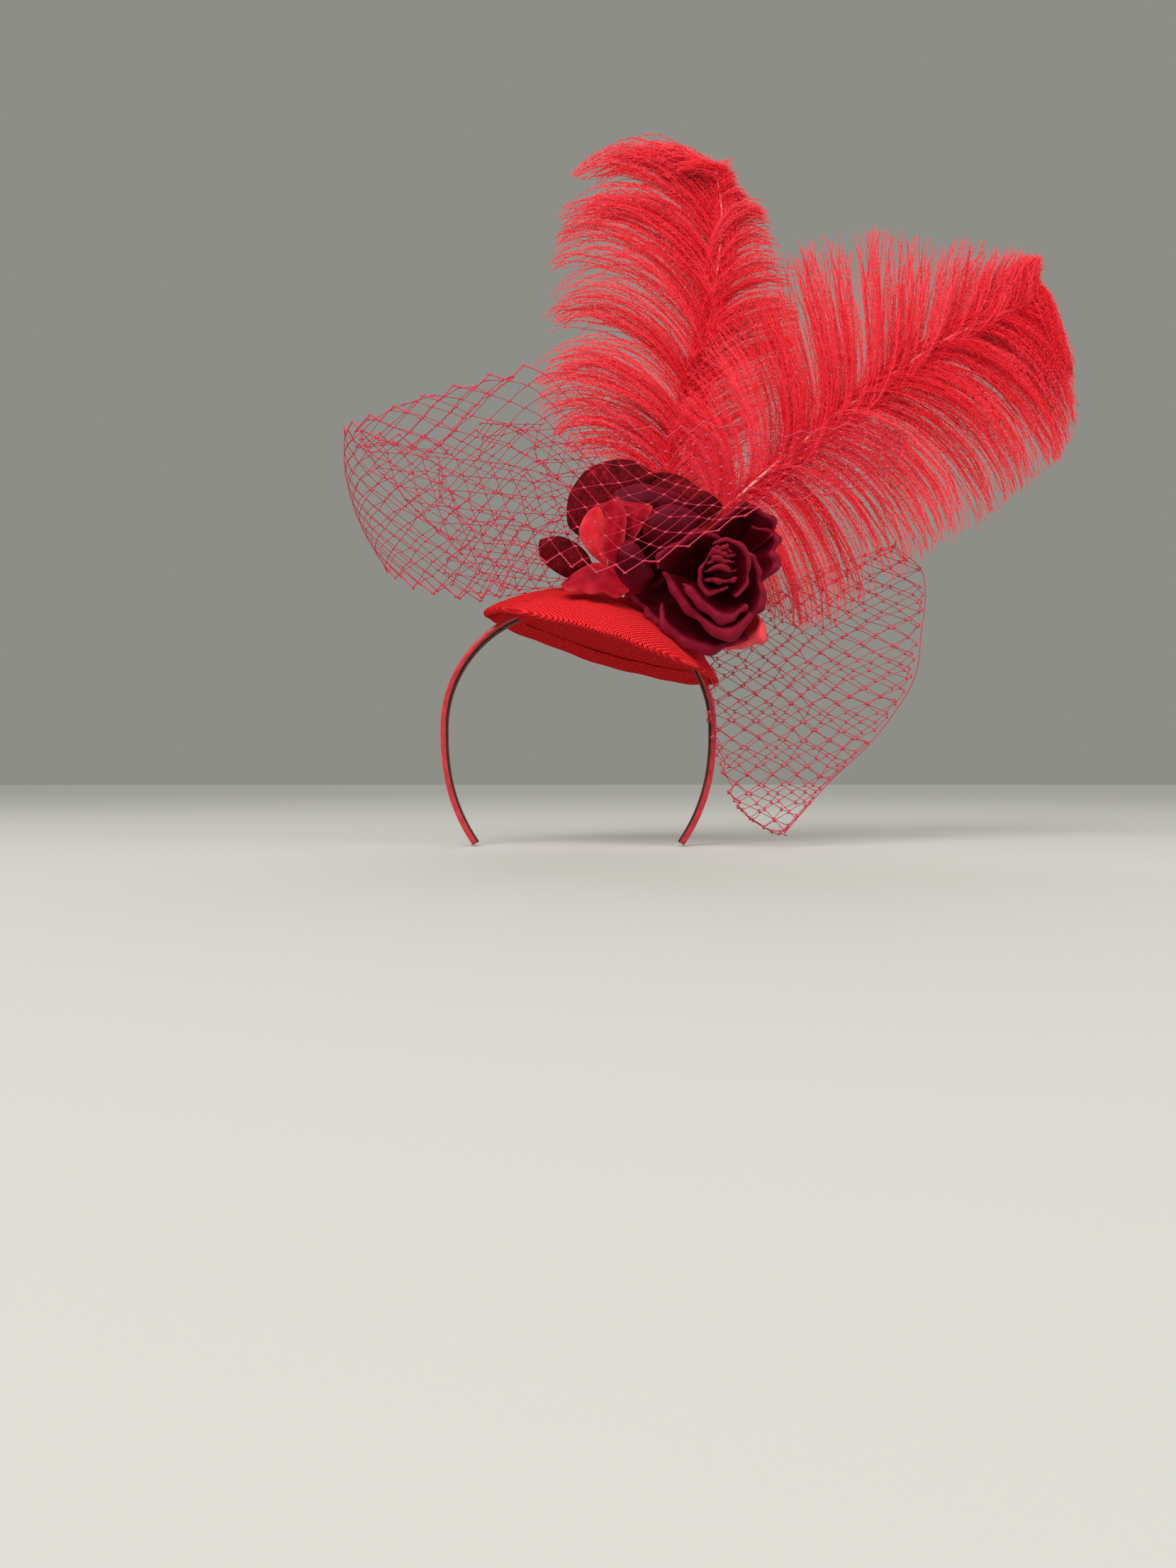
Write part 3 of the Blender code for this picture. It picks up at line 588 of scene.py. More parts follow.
def net_parts(rails, width, seed, selvedges=(0, 1), long_along=True, outline=None):
    """Diamond netting over the surface through the rails: verts, faces, tones and length."""
    rng = np.random.default_rng(seed)
    grid, length = net_surface(rails, *NET_GRID)
    long_half, short_half = NET_SIDE * math.cos(NET_HALF_ANGLE), NET_SIDE * math.sin(NET_HALF_ANGLE)
    du, dv = (long_half, short_half) if long_along else (short_half, long_half)
    across = max(2, round(width / dv / 2) * 2)
    along = max(4, round(length / du / 2) * 2)
    i, j = np.meshgrid(np.arange(along + 1), np.arange(across + 1), indexing="ij")
    there = (i + j) % 2 == 0
    u, v = i / along, j / across
    wobble = rng.normal(0, MESH_WOBBLE, (2, *u.shape))
    u, v = u + wobble[0] / along, v + wobble[1] / across * ((j > 0) & (j < across))
    places = read_grid(grid, u, v)
    if outline is not None:
        within, places = drawn_to(outline, places)
        there &= within
    threads, thick = [], []
    for step in (1, -1):
        a, b = (i[:-1], j[:-1]), (i[1:], j[:-1] + step)
        ok = (b[1] >= 0) & (b[1] <= across) & there[:-1]
        ends = (b[0][ok], b[1][ok])
        starts = (a[0][ok], a[1][ok])
        keep = there[ends]
        starts, ends = tuple(x[keep] for x in starts), tuple(x[keep] for x in ends)
        if outline is None:
            middle = read_grid(grid, (u[starts] + u[ends]) / 2, (v[starts] + v[ends]) / 2)
        else:
            middle = (places[starts] + places[ends]) / 2
        threads.append(np.stack([places[starts], middle, places[ends]], axis=1))
        edge = np.zeros(len(middle), bool)
        for side in selvedges:
            row = across * side
            edge |= (starts[1] == row) | (ends[1] == row)
        thick.append(edge)
    threads, thick = np.vstack(threads), np.concatenate(thick)
    normals, alongs = grid_normal(grid, u[there], v[there])
    reference = unit(normals.mean(axis=0)) + np.array((0.013, 0.021, 0.017))
    radii = np.where(thick, SELVEDGE_RADIUS, THREAD_RADIUS)[:, None]
    tubes = tube_parts(threads, radii, THREAD_SIDES, reference)
    knots = knot_parts(places[there], normals, alongs)
    verts, faces = join_parts([tubes, knots])
    tones = np.repeat(np.where(thick, SELVEDGE_TONE, THREAD_TONE), threads.shape[1] * THREAD_SIDES)
    tones = np.concatenate([tones, np.full(len(knots[0]), KNOT_TONE)])
    return verts, faces, tones, length


def net_object(name, parts, mat):
    """One piece of netting joined from parts, riding on the headpiece."""
    verts, faces = join_parts([part[:2] for part in parts])
    tones = np.concatenate([part[2] for part in parts])
    obj = mesh_object(name, verts, faces, mat, {"knot": tones}, smooth=False)
    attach(obj, "headpiece")
    return obj


LOOP_UPPER = (
    (0.022, 0.038, 0.090), (-0.030, 0.044, 0.118), (-0.082, 0.042, 0.112), (-0.122, 0.016, 0.106),
    (-0.128, -0.020, 0.098), (-0.104, -0.046, 0.098), (-0.058, -0.056, 0.110), (-0.014, -0.056, 0.118),
    (0.036, -0.054, 0.088), (0.070, -0.052, 0.091), (0.108, -0.050, 0.086), (0.150, -0.040, 0.094),
    (0.180, -0.022, 0.096),
)
LOOP_LOWER = (
    (-0.002, 0.036, 0.042), (-0.026, 0.044, 0.024), (-0.062, 0.040, 0.012), (-0.098, 0.012, 0.020),
    (-0.104, -0.022, 0.018), (-0.082, -0.044, 0.004), (-0.046, -0.052, 0.000), (-0.021, -0.054, 0.017),
    (0.022, -0.062, 0.010), (0.060, -0.062, 0.0255), (0.092, -0.054, 0.0435), (0.144, -0.034, 0.060),
    (0.174, -0.018, 0.074),
)
LOOP_BULGE = (0, 0.004, 0.008, 0.008, 0.007, 0.008, 0.006, 0.003, 0.004, 0.003, 0, 0, 0)
LOOP_AXIS = np.array((-0.040, 0.0))
LOOP_WIDTH = 0.095


def bulged(a, b, share, bulge):
    """The point between a and b, pushed out from the loop's upright axis."""
    place = np.array(a) * (1 - share) + np.array(b) * share
    out = unit(place[:2] - LOOP_AXIS)
    return (place[0] + out[0] * bulge, place[1] + out[1] * bulge, place[2])


def build_loop_net(mat):
    middle = [[bulged(a, b, share, bulge) for a, b, bulge in zip(LOOP_UPPER, LOOP_LOWER, LOOP_BULGE)]
              for share in (0.33, 0.67)]
    part = net_parts([LOOP_UPPER, *middle, LOOP_LOWER], LOOP_WIDTH, 3)
    loop = net_object("veil_loop", [part], mat)
    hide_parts("veil_left_net")


# Folds inside the loop: name, y, slope of y along x, turn of the weave in degrees, outline as (x, z), then
# the folded or selvedge lines that show as thicker threads.
INNER_FOLDS = (
    ("veil_fold_upper", -0.036, -0.05, 12, (
        (-0.1186, 0.0915), (-0.1120, 0.0976), (-0.0931, 0.1047), (-0.0724, 0.1108), (-0.0507, 0.1165),
        (-0.0347, 0.1188), (-0.0460, 0.1108), (-0.0592, 0.1000), (-0.0648, 0.0915), (-0.0705, 0.0858),
        (-0.0700, 0.0792), (-0.0856, 0.0811), (-0.0997, 0.0849), (-0.1138, 0.0830)),
     ((-0.0347, 0.1188), (-0.0460, 0.1108), (-0.0592, 0.1000), (-0.0705, 0.0858))),
    ("veil_fold_middle", 0.000, 0.00, -38, (
        (-0.1255, 0.0932), (-0.1056, 0.0957), (-0.0927, 0.0922), (-0.0748, 0.0892), (-0.0559, 0.0852),
        (-0.0389, 0.0822), (-0.0230, 0.0782), (-0.0051, 0.0713), (-0.0001, 0.0553), (-0.0001, 0.0155),
        (-0.0389, 0.0115), (-0.0539, 0.0215), (-0.0708, 0.0364), (-0.0887, 0.0543), (-0.1026, 0.0683),
        (-0.1116, 0.0782)),
     ((-0.1116, 0.0782), (-0.1026, 0.0683), (-0.0887, 0.0543), (-0.0708, 0.0364), (-0.0539, 0.0215),
      (-0.0389, 0.0115))),
    ("veil_fold_lower", 0.020, 0.00, 24, (
        (-0.0813, 0.0867), (-0.0803, 0.0682), (-0.0680, 0.0564), (-0.0382, 0.0564), (-0.0341, 0.0528),
        (-0.0208, 0.0508), (-0.0136, 0.0580), (-0.0095, 0.0651), (-0.0003, 0.0600), (-0.0003, 0.0190),
        (-0.0505, 0.0108), (-0.0711, 0.0149), (-0.0782, 0.0251), (-0.0772, 0.0323), (-0.0608, 0.0456)),
     ((-0.0813, 0.0867), (-0.0803, 0.0682), (-0.0680, 0.0564), (-0.0608, 0.0456), (-0.0772, 0.0323))),
    ("veil_fold_rose", -0.020, 0.00, 40, (
        (-0.0530, 0.0990), (0.0059, 0.0989), (0.0107, 0.0796), (-0.0048, 0.0661), (-0.0154, 0.0700),
        (-0.0221, 0.0796), (-0.0250, 0.0912), (-0.0318, 0.0960), (-0.0453, 0.0880), (-0.0538, 0.0796)),
     ((-0.0453, 0.0990), (-0.0318, 0.0960), (-0.0241, 0.0883), (-0.0226, 0.0796), (-0.0154, 0.0738),
      (-0.0154, 0.0700), (-0.0086, 0.0642))),
)


def outline_area(outline):
    x, z = np.array(outline).T
    return abs(np.dot(x, np.roll(z, -1)) - np.dot(z, np.roll(x, -1))) / 2


def turned_rails(outline, y, slope, turn):
    """Two rails of a rectangle that covers the outline, turned in the plane seen from the front."""
    points = np.array(outline)
    middle = (points.max(axis=0) + points.min(axis=0)) / 2
    along = np.array((math.cos(turn), math.sin(turn)))
    across = np.array((math.sin(turn), -math.cos(turn)))
    half_long = np.abs((points - middle) @ along).max() + NET_SIDE
    half_wide = np.abs((points - middle) @ across).max() + NET_SIDE
    rails = []
    for side in (-1, 1):
        ends = [middle + along * half_long * end + across * half_wide * side for end in (-1, 0, 1)]
        rails.append([(x, y + slope * (x - middle[0]) + 0.003 * side, z) for x, z in ends])
    return rails, 2 * half_wide


def hem_thread(name, line, tone, mat):
    """The thicker thread that edges a piece of netting."""
    obj = tube_object(name, line, np.full(len(line), HEM_RADIUS), 6, mat, (0.02, 1, 0.03))
    values = obj.data.attributes.new("knot", "FLOAT", "POINT")
    values.data.foreach_set("value", np.full(len(obj.data.vertices), tone, np.float32))
    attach(obj, "headpiece")
    return obj


def fold_edge(name, points, y, mat):
    """The thread along a fold in the loop, in the small zigzag of the meshes it ends."""
    line = spline([(x, y, z) for x, z in points], 4 * len(points))
    line[1::2] += np.array((0, -0.0006, 0.0011))
    return hem_thread(name, line, 0.7, mat)


def build_inner_folds(mat):
    """The rest of the loop's netting, gathered inside it."""
    parts, hems, area = [], [], 0.0
    for seed, (name, y, slope, turn, outline, edge) in enumerate(INNER_FOLDS, 11):
        rails, width = turned_rails(outline, y, slope, math.radians(turn))
        parts.append(net_parts(rails, width, seed, selvedges=(), outline=outline))
        hems.append(fold_edge(f"{name}_edge", edge, y, mat))
        area += outline_area(outline)
    net_object("veil_inner_folds", parts, mat)


# The drape hangs from the base and is folded on itself: upright rails at x, with y at the top and the foot.
DRAPE_OUTLINE = (
    (0.0670, -0.0210), (0.0712, -0.0320), (0.0710, -0.0460), (0.0710, -0.0640), (0.0750, -0.0790),
    (0.0820, -0.1020), (0.0890, -0.1130), (0.0960, -0.1180), (0.1050, -0.1235), (0.1120, -0.1240),
    (0.1380, -0.0960), (0.1640, -0.0720), (0.1870, -0.0400), (0.1930, -0.0120), (0.1970, 0.0080),
    (0.1960, 0.0260), (0.1820, 0.0400), (0.1300, 0.0200), (0.0900, -0.0050),
)
DRAPE_TOP, DRAPE_FOOT = 0.046, -0.132
DRAPE_LAYERS = (
    ((0.045, -0.034, -0.030), (0.100, -0.012, -0.028), (0.150, 0.010, -0.022), (0.220, 0.016, -0.014)),
    ((0.045, -0.024, -0.022), (0.100, 0.004, -0.018), (0.150, 0.024, -0.012), (0.220, 0.018, -0.010)),
)
DRAPE_LEANS = (0.020, -0.030)


def build_drape_net(mat):
    parts = []
    for seed, (columns, lean) in enumerate(zip(DRAPE_LAYERS, DRAPE_LEANS), 31):
        rails = [[(x + lean, top, DRAPE_TOP), (x, (top + foot) / 2, (DRAPE_TOP + DRAPE_FOOT) / 2),
                  (x - lean, foot, DRAPE_FOOT)] for x, top, foot in columns]
        width = columns[-1][0] - columns[0][0]
        parts.append(net_parts(rails, width, seed, (), long_along=False, outline=DRAPE_OUTLINE))
    hems = [drape_edge("veil_drape_selvedge", DRAPE_OUTLINE[:10], -0.034, -0.026, True, mat),
            drape_edge("veil_drape_fold", DRAPE_OUTLINE[9:17], -0.026, 0.016, False, mat)]
    drape = net_object("veil_drape", parts, mat)
    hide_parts("veil_right_net")


def drape_edge(name, points, first, last, zigzag, mat):
    """The drape's edge thread: zigzag along the selvedge, smooth along the fold."""
    depths = np.linspace(first, last, len(points))
    line = spline([(x, y, z) for (x, z), y in zip(points, depths)], 33)
    if zigzag:
        line[1::2] += np.array((0.0030, 0, -0.0016))
    return hem_thread(name, line, 0.5, mat)


# ---------------------------------------------------------------- plumes


def build_quill(name, quill, body, mat):
    route = spline(quill, 48) + FRONT * QUILL_RADII[0]
    radii = np.linspace(*QUILL_RADII, len(route))
    obj = tube_object(name, route, radii, 10, mat)
    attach(obj, body)
    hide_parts(f"{body}_quill")


def read_line(line, at):
    """Points of a line at parameters from 0 to 1."""
    place = np.clip(at, 0, 1) * (len(line) - 1)
    low = np.minimum(place.astype(int), len(line) - 2)
    share = (place - low)[:, None]
    return line[low] * (1 - share) + line[low + 1] * share


def bezier(controls, s):
    """Cubic curves from four (n, 3) control arrays, read at s: (n, len(s), 3)."""
    a, b, c, d = (p[:, None] for p in controls)
    s = s[None, :, None]
    return (1 - s) ** 3 * a + 3 * (1 - s) ** 2 * s * b + 3 * (1 - s) * s**2 * c + s**3 * d


BARB_POINTS = 18
BARB_RADII = (0.00026, 0.00032, 0.00012)
LEAVE_SCATTER = 5
LOCK_LENGTH_SCATTER = 0.06
BARB_LENGTH_SCATTER = 0.035
SHORT_SHARE, SHORT_BY = 0.12, 0.22
LONGEST_REACH = 1.05
TIP_SCATTER = 0.0016
WAVE_HEIGHT, WAVE_LENGTH = 0.0006, 0.011
BLADE_HALF_WIDTH = 0.00026


def barb_paths(quill, outline, plan, rng):
    """Centre lines of a vane's barbs: they leave the quill slantwise, arch over and gather in locks."""
    count = plan["count"]
    whole = spline(quill, 400)
    starts = whole[int(400 * plan["from"]):]
    edge = spline([(x, 0.0, z) for x, z in outline], 400)
    t = (np.arange(count) + rng.random(count)) / count
    root = read_line(starts, t)
    grow = unit(read_line(np.gradient(starts, axis=0), t))
    side = np.cross(grow, (0, 1, 0)) * plan["side"]
    angle = np.radians(plan["leave"] + plan["open"] * t**4 + rng.normal(0, LEAVE_SCATTER, count))[:, None]
    lock = np.cumsum(rng.random(count) < 1 / plan["lock"])
    middles = np.array([t[lock == k].mean() for k in range(lock.max() + 1) if (lock == k).any()])
    names = np.unique(lock)
    at = middles[np.searchsorted(names, lock)]
    pull = plan["pull"]
    tip_at = t * (1 - pull) + at * pull + rng.normal(0, 0.012, count)
    tip_at += plan["shift"] * np.sin(math.pi * np.clip(tip_at, 0, 1)) ** 0.7
    tip = read_line(edge, tip_at)
    lock_depth = rng.uniform(-1, 1, lock.max() + 1)[lock]
    lock_long = rng.normal(0, LOCK_LENGTH_SCATTER, lock.max() + 1)[lock]
    reach = 1 + lock_long + rng.normal(0, BARB_LENGTH_SCATTER, count)
    reach -= SHORT_BY * (rng.random(count) < SHORT_SHARE)
    tip = root + (tip - root) * np.minimum(reach, LONGEST_REACH)[:, None]
    tip[:, 1] = root[:, 1]
    tip += rng.normal(0, TIP_SCATTER, tip.shape)
    span = np.linalg.norm(tip - root, axis=1)[:, None]
    leave = grow * np.cos(angle) + side * np.sin(angle)
    ends = np.array([(x, 0.0, z) for x, z in plan["ends"]], float)
    droop = unit(read_line(ends, t)) + rng.normal(0, 0.18, tip.shape)
    depth = (lock_depth * 0.6 + rng.uniform(-1, 1, count) * 0.5)[:, None] * plan["depth"]
    out = np.array((0.0, 1.0, 0.0))
    root = root + side * QUILL_RADII[1] + out * QUILL_RADII[1]
    controls = [root, root + leave * span * plan["rise"] + out * depth * 0.8,
                tip - droop * span * plan["fall"] + out * depth, tip + out * depth * 0.7]
    s = np.linspace(0, 1, BARB_POINTS)
    paths = bezier(controls, s)
    phase = rng.uniform(0, math.tau, (count, 1)) + lock[:, None] * 1.7
    wave = np.sin(phase + s[None] * span / WAVE_LENGTH * math.pi) * s[None] * WAVE_HEIGHT
    across = unit(np.cross(np.gradient(paths, axis=1), (0, 1, 0)))
    paths = paths + across * wave[:, :, None]
    tone = rng.normal(0, 0.10, lock.max() + 1)[lock] + rng.normal(0, 0.07, count)
    return paths, tone, s


def barbule_parts(path, tone, rng, spacing, longest):
    """The fringe of one barb: a thin curved blade on each side at each step."""
    run = np.concatenate([[0], np.cumsum(np.linalg.norm(np.diff(path, axis=0), axis=1))])
    count = max(4, int(run[-1] / spacing))
    at = (np.arange(count) + rng.random(count)) / count
    place = np.stack([np.interp(at * run[-1], run, line) for line in path.T], axis=1)
    along = unit(np.stack([np.interp(at * run[-1], run, np.gradient(line)) for line in path.T], axis=1))
    flat = unit(np.cross(along, (0, 1, 0)))
    deep = np.cross(along, flat)
    shape = 0.25 + 0.75 * np.sin(math.pi * np.minimum(0.08 + at, 1.0) ** 0.8) ** 0.7
    verts, tones = [], []
    for sign in (-1, 1):
        roll = rng.normal(0, 0.75, count)
        lean = np.radians(rng.normal(48, 10, count))
        out = flat * (sign * np.cos(roll))[:, None] + deep * np.sin(roll)[:, None]
        blade = along * np.cos(lean)[:, None] + out * np.sin(lean)[:, None]
        long = (longest * shape * rng.uniform(0.6, 1.1, count))[:, None]
        half = along * BLADE_HALF_WIDTH
        bend = along * long * 0.35
        verts.append(np.stack([place - half, place + half, place + blade * long + bend], axis=1))
        # Painted shade and light: the fringe is darker near the barb's root and lighter toward its tip, on
        # top of its random tone.
        tones.append(np.repeat(tone + 0.10 + 0.25 * at, 3))
    return np.vstack(verts).reshape(-1, 3), np.concatenate(tones)


def build_vane(name, body, quill, outline, plan, mat):
    rng = np.random.default_rng(plan["seed"])
    paths, tone, s = barb_paths(quill, outline, plan, rng)
    radii = np.interp(s, (0, 0.15, 1), BARB_RADII)[None]
    shafts, shaft_faces = tube_parts(paths, radii, 3, (0.01, 1, 0.02))
    # Random tone plus painted shade and light: each shaft is darker at its root and lighter toward its tip.
    shaft_tone_and_painted_shade = (tone[:, None] + 0.52 + 0.20 * s[None]).repeat(3, axis=1).reshape(-1)
    blades, tones = [], []
    for path, own in zip(paths, tone):
        verts, shade = barbule_parts(path, own + 0.36, rng, plan["spacing"], plan["longest"])
        blades.append(verts)
        tones.append(shade)
    blades = np.vstack(blades)
    faces = np.arange(len(blades)).reshape(-1, 3)
    verts, faces = join_parts([(shafts, shaft_faces), (blades, faces)])
    obj = mesh_object(name, verts, faces, mat, {"tone": np.concatenate([shaft_tone_and_painted_shade, *tones])})
    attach(obj, body)
    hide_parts(name.replace("_barbs", "_vane"))


# What all vanes share, then each vane: where along the quill it starts, the angle at which its barbs leave
# and how much that opens at the tip, barbs to a lock and how tightly they gather, the curve's two arms, how
# far the tips run ahead of the roots, and the directions of the tips from the foot up, as (x, z).
WIDE_VANE = {"lock": 15, "depth": 0.007, "spacing": 0.0015, "longest": 0.0040}
NARROW_VANE = {"lock": 12, "depth": 0.006, "spacing": 0.0013, "longest": 0.0034}
VANES = (
    ("left_plume_left_barbs", "left_plume", LEFT_QUILL, LEFT_PLUME_OUTER, {
        **WIDE_VANE, "seed": 21, "side": -1, "count": 800, "from": 0.10, "leave": 26, "open": 34,
        "pull": 0.62, "rise": 0.50, "fall": 0.40, "shift": 0.20,
        "ends": ((-0.5, -0.8), (-0.8, -0.7), (-0.8, -0.6), (-0.8, -0.7), (-0.8, -0.6), (-0.9, -0.5),
                 (-0.8, -0.1)),
    }),
    ("left_plume_right_barbs", "left_plume", LEFT_QUILL, LEFT_PLUME_INNER, {
        **NARROW_VANE, "seed": 22, "side": 1, "count": 760, "from": 0.10, "leave": 40, "open": 40,
        "pull": 0.5, "rise": 0.40, "fall": 0.38, "shift": 0.06,
        "ends": ((0.5, 0.6), (0.8, 0.3), (0.9, -0.2), (0.8, -0.6), (0.9, -0.5), (0.8, -0.5)),
    }),
    ("right_plume_upper_barbs", "right_plume", RIGHT_QUILL, RIGHT_PLUME_UPPER, {
        **WIDE_VANE, "seed": 23, "side": -1, "count": 820, "from": 0.06, "leave": 26, "open": 30,
        "pull": 0.55, "rise": 0.50, "fall": 0.34, "shift": 0.27,
        "ends": ((-0.8, 0.3), (-0.5, 0.8), (0.0, 1.0), (0.3, 0.9), (0.5, 0.7), (0.8, 0.4), (0.9, -0.1)),
    }),
    ("right_plume_lower_barbs", "right_plume", RIGHT_QUILL, RIGHT_PLUME_LOWER, {
        **WIDE_VANE, "seed": 24, "side": 1, "count": 820, "from": 0.08, "leave": 14, "open": 30,
        "lock": 13, "pull": 0.6, "rise": 0.56, "fall": 0.36, "shift": 0.30,
        "ends": ((-0.1, -1.0), (0.1, -1.0), (0.15, -1.0), (0.2, -1.0), (0.2, -1.0), (0.3, -0.9), (0.5, -0.8)),
    }),
)


def build_plumes():
    feather, quill = feather_material(), quill_material()
    build_quill("left_quill", LEFT_QUILL, "left_plume", quill)
    build_quill("right_quill", RIGHT_QUILL, "right_plume", quill)
    for name, body, line, outline, plan in VANES:
        build_vane(name, body, line, outline, plan, feather)


# ------------------------------------------------------ roses and leaves

FRONT_HUB = np.array((0.072, -0.041, 0.0115))
FRONT_AXIS = (0.14, -0.98, -0.06)
PETAL_CLOTH = 0.00035
PETAL_COLUMNS = 46
WALL_STEPS = 14
LIP_STEPS = 7
LIP_SPREAD = 1.5
LIP_TURNS = (0.45, 3.6)
ROOT_SHARE, BELLY_SHARE = 0.20, 0.86
ROOT_DEPTH = 22
VELVET_CLOTH = 0.0008

# Front rose petals, in millimetres from its hub: name, CAD node, how far forward the rim stands, lip roll,
# colour, rim as (right, up).
FRONT_PETALS = (
    ("pleat_1", "bud", 18.6, 0.95, "burgundy", ((-3.6, 11.0), (0.5, 10.0), (4.0, 10.6), (7.4, 9.4))),
    ("pleat_2", "bud", 20.2, 1.05, "burgundy", ((-4.6, 7.0), (-0.5, 7.9), (3.4, 6.8), (8.0, 7.4))),
    ("pleat_3", "bud", 20.8, 0.90, "burgundy", ((-5.2, 3.2), (-1.0, 4.6), (3.2, 3.6), (8.2, 4.4))),
    ("pleat_4", "bud", 20.2, 1.10, "burgundy", ((-5.6, -0.4), (-0.5, 0.8), (3.8, -0.4), (8.6, 0.6))),
    ("pleat_5", "bud", 18.8, 1.00, "burgundy", ((-5.8, -3.6), (-0.5, -3.2), (4.2, -4.4), (8.4, -2.6))),
    ("bud_left", "bud", 18.8, 0.7, "burgundy", (
        (-1.6, 12.6), (-5.6, 5.4), (-7.7, 0.4), (-8.2, -5.2), (-5.0, -9.6), (0.6, -9.2), (5.6, -7.8))),
    ("bud_right", "petals_1", 17.0, 0.8, "burgundy", (
        (-2.4, 13.6), (3.0, 15.2), (8.6, 14.0), (13.8, 7.8), (15.4, 0.4), (14.2, -6.2), (8.4, -12.4))),
    ("lip_inner", "petals_1", 16.0, 1.7, "burgundy", (
        (-18.0, -5.6), (-12.5, -7.6), (-7.6, -13.0), (-1.6, -18.4), (4.4, -21.2), (10.0, -20.6),
        (15.0, -16.2))),
    ("lip_outer", "petals_2", 14.0, 2.0, "burgundy", (
        (-26.0, 0.6), (-20.7, -6.9), (-15.6, -13.8), (-10.0, -20.6), (-2.6, -25.6), (4.6, -27.4),
        (12.4, -25.0), (17.0, -19.6))),
    ("side_right", "petals_2", 9.0, 1.3, "burgundy", (
        (11.6, 13.6), (17.6, 8.4), (21.4, 0.4), (22.2, -8.4), (20.4, -16.4), (16.6, -22.6))),
    ("rim_upper_left", "petals_2", 11.0, 1.1, "burgundy", (
        (-30.6, 3.0), (-27.2, 9.7), (-18.0, 14.3), (-6.8, 19.4), (3.4, 17.0), (8.0, 11.0))),
    ("wing_upper", "petals_3", 1.0, 1.4, "burgundy", (
        (-8.0, 20.0), (0.6, 25.6), (9.0, 31.4), (17.0, 36.4), (24.6, 34.4), (30.6, 27.6), (29.4, 20.6))),
    ("wing_right", "petals_3", 0.0, 1.4, "burgundy", (
        (20.0, 27.6), (28.4, 24.6), (31.6, 18.4), (28.6, 12.0), (30.0, 6.6), (26.6, 0.4), (21.6, -5.6))),
    ("left_high", "petals_3", 1.0, 1.2, "burgundy", (
        (-22.0, 9.6), (-32.8, 6.4), (-43.6, 5.2), (-49.0, 2.0), (-46.6, -4.4), (-39.6, -10.8))),
    ("left_low", "petals_4", 2.5, 1.5, "burgundy", (
        (-38.6, 4.6), (-43.0, -4.6), (-40.0, -12.2), (-34.4, -17.6), (-28.2, -21.6), (-21.6, -26.4))),
    ("low_front", "petals_4", 6.0, 1.7, "burgundy", (
        (-27.6, -14.0), (-25.4, -22.0), (-18.6, -29.4), (-9.4, -33.8), (2.0, -35.6), (9.6, -34.4),
        (16.8, -30.6))),
    ("low_right", "petals_4", 3.0, 1.8, "bright", (
        (4.0, -34.8), (11.8, -34.4), (19.4, -30.0), (22.8, -24.0), (21.4, -16.6), (20.2, -8.0))),
)


def petal_grid(rim, forward, roll, seed):
    """A cupped petal in (right, forward, up) millimetres: a wall from the root to the rim, then its lip."""
    edge = spline(rim, PETAL_COLUMNS)
    radial = unit(edge)
    t = np.linspace(0, 1, PETAL_COLUMNS)
    rng = np.random.default_rng(seed)
    phase = rng.uniform(0, math.tau, 3)
    wave = 0.5 * np.sin(7 * t + phase[0]) + 0.35 * np.sin(15 * t + phase[1]) + 0.2 * np.sin(31 * t + phase[2])
    reach = np.linalg.norm(edge, axis=1).mean()
    edge = edge + radial * (wave * 0.035 * reach)[:, None]
    front = forward + wave * 0.05 * reach
    rows = []
    for s in np.linspace(0, 1, WALL_STEPS):
        a, b, c = (1 - s) ** 2, 2 * s * (1 - s), s * s
        place = edge * (a * ROOT_SHARE + b * BELLY_SHARE + c)
        depth = a * (forward - ROOT_DEPTH) + b * (front - 0.30 * reach - 1.5) + c * front
        crease = 0.25 * s * np.sin(9 * t + phase[2]) * (1 - s)
        rows.append(np.stack([place[:, 0], depth + crease * 2, place[:, 1]], axis=1))
    size = roll * (0.35 + 0.65 * np.sin(math.pi * t) ** 0.5) * (1 + 0.5 * wave)
    for turn in np.linspace(*LIP_TURNS, LIP_STEPS):
        place = edge + radial * (LIP_SPREAD * size * (1 - math.cos(turn)))[:, None]
        rows.append(np.stack([place[:, 0], front + size * math.sin(turn), place[:, 1]], axis=1))
    return np.array(rows)


def cloth_piece(name, grid, rim, mat, node, thickness=PETAL_CLOTH):
    """A grid of points in metres as moulded cloth that rides on the headpiece; rim gives each point's painted
    light and shade, kept as the "rim" attribute.
    """
    obj = mesh_object(name, grid.reshape(-1, 3), grid_faces(*grid.shape[:2]), mat, {"rim": rim})
    thicken(obj, thickness, levels=1)
    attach(obj, "headpiece")
    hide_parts(node)


def build_front_rose(mats):
    for seed, (name, node, forward, roll, color, rim) in enumerate(FRONT_PETALS, 40):
        grid = petal_grid(rim, forward, roll, seed)
        world = FRONT_HUB + grid * np.array((1, -1, 1)) * MM
        # Painted shade and light: the wall is darkest at its root deep in the cup and lightens toward the
        # rim, and the lip is lightest, a painted highlight where it turns over.
        shade = np.concatenate([np.linspace(0, 0.62, WALL_STEPS) ** 1.6, np.linspace(0.55, 0.95, LIP_STEPS)])
        shade = np.repeat(shade, PETAL_COLUMNS)
        cloth_piece(f"front_rose_{name}", world, shade, mats[color], f"front_rose_{node}")


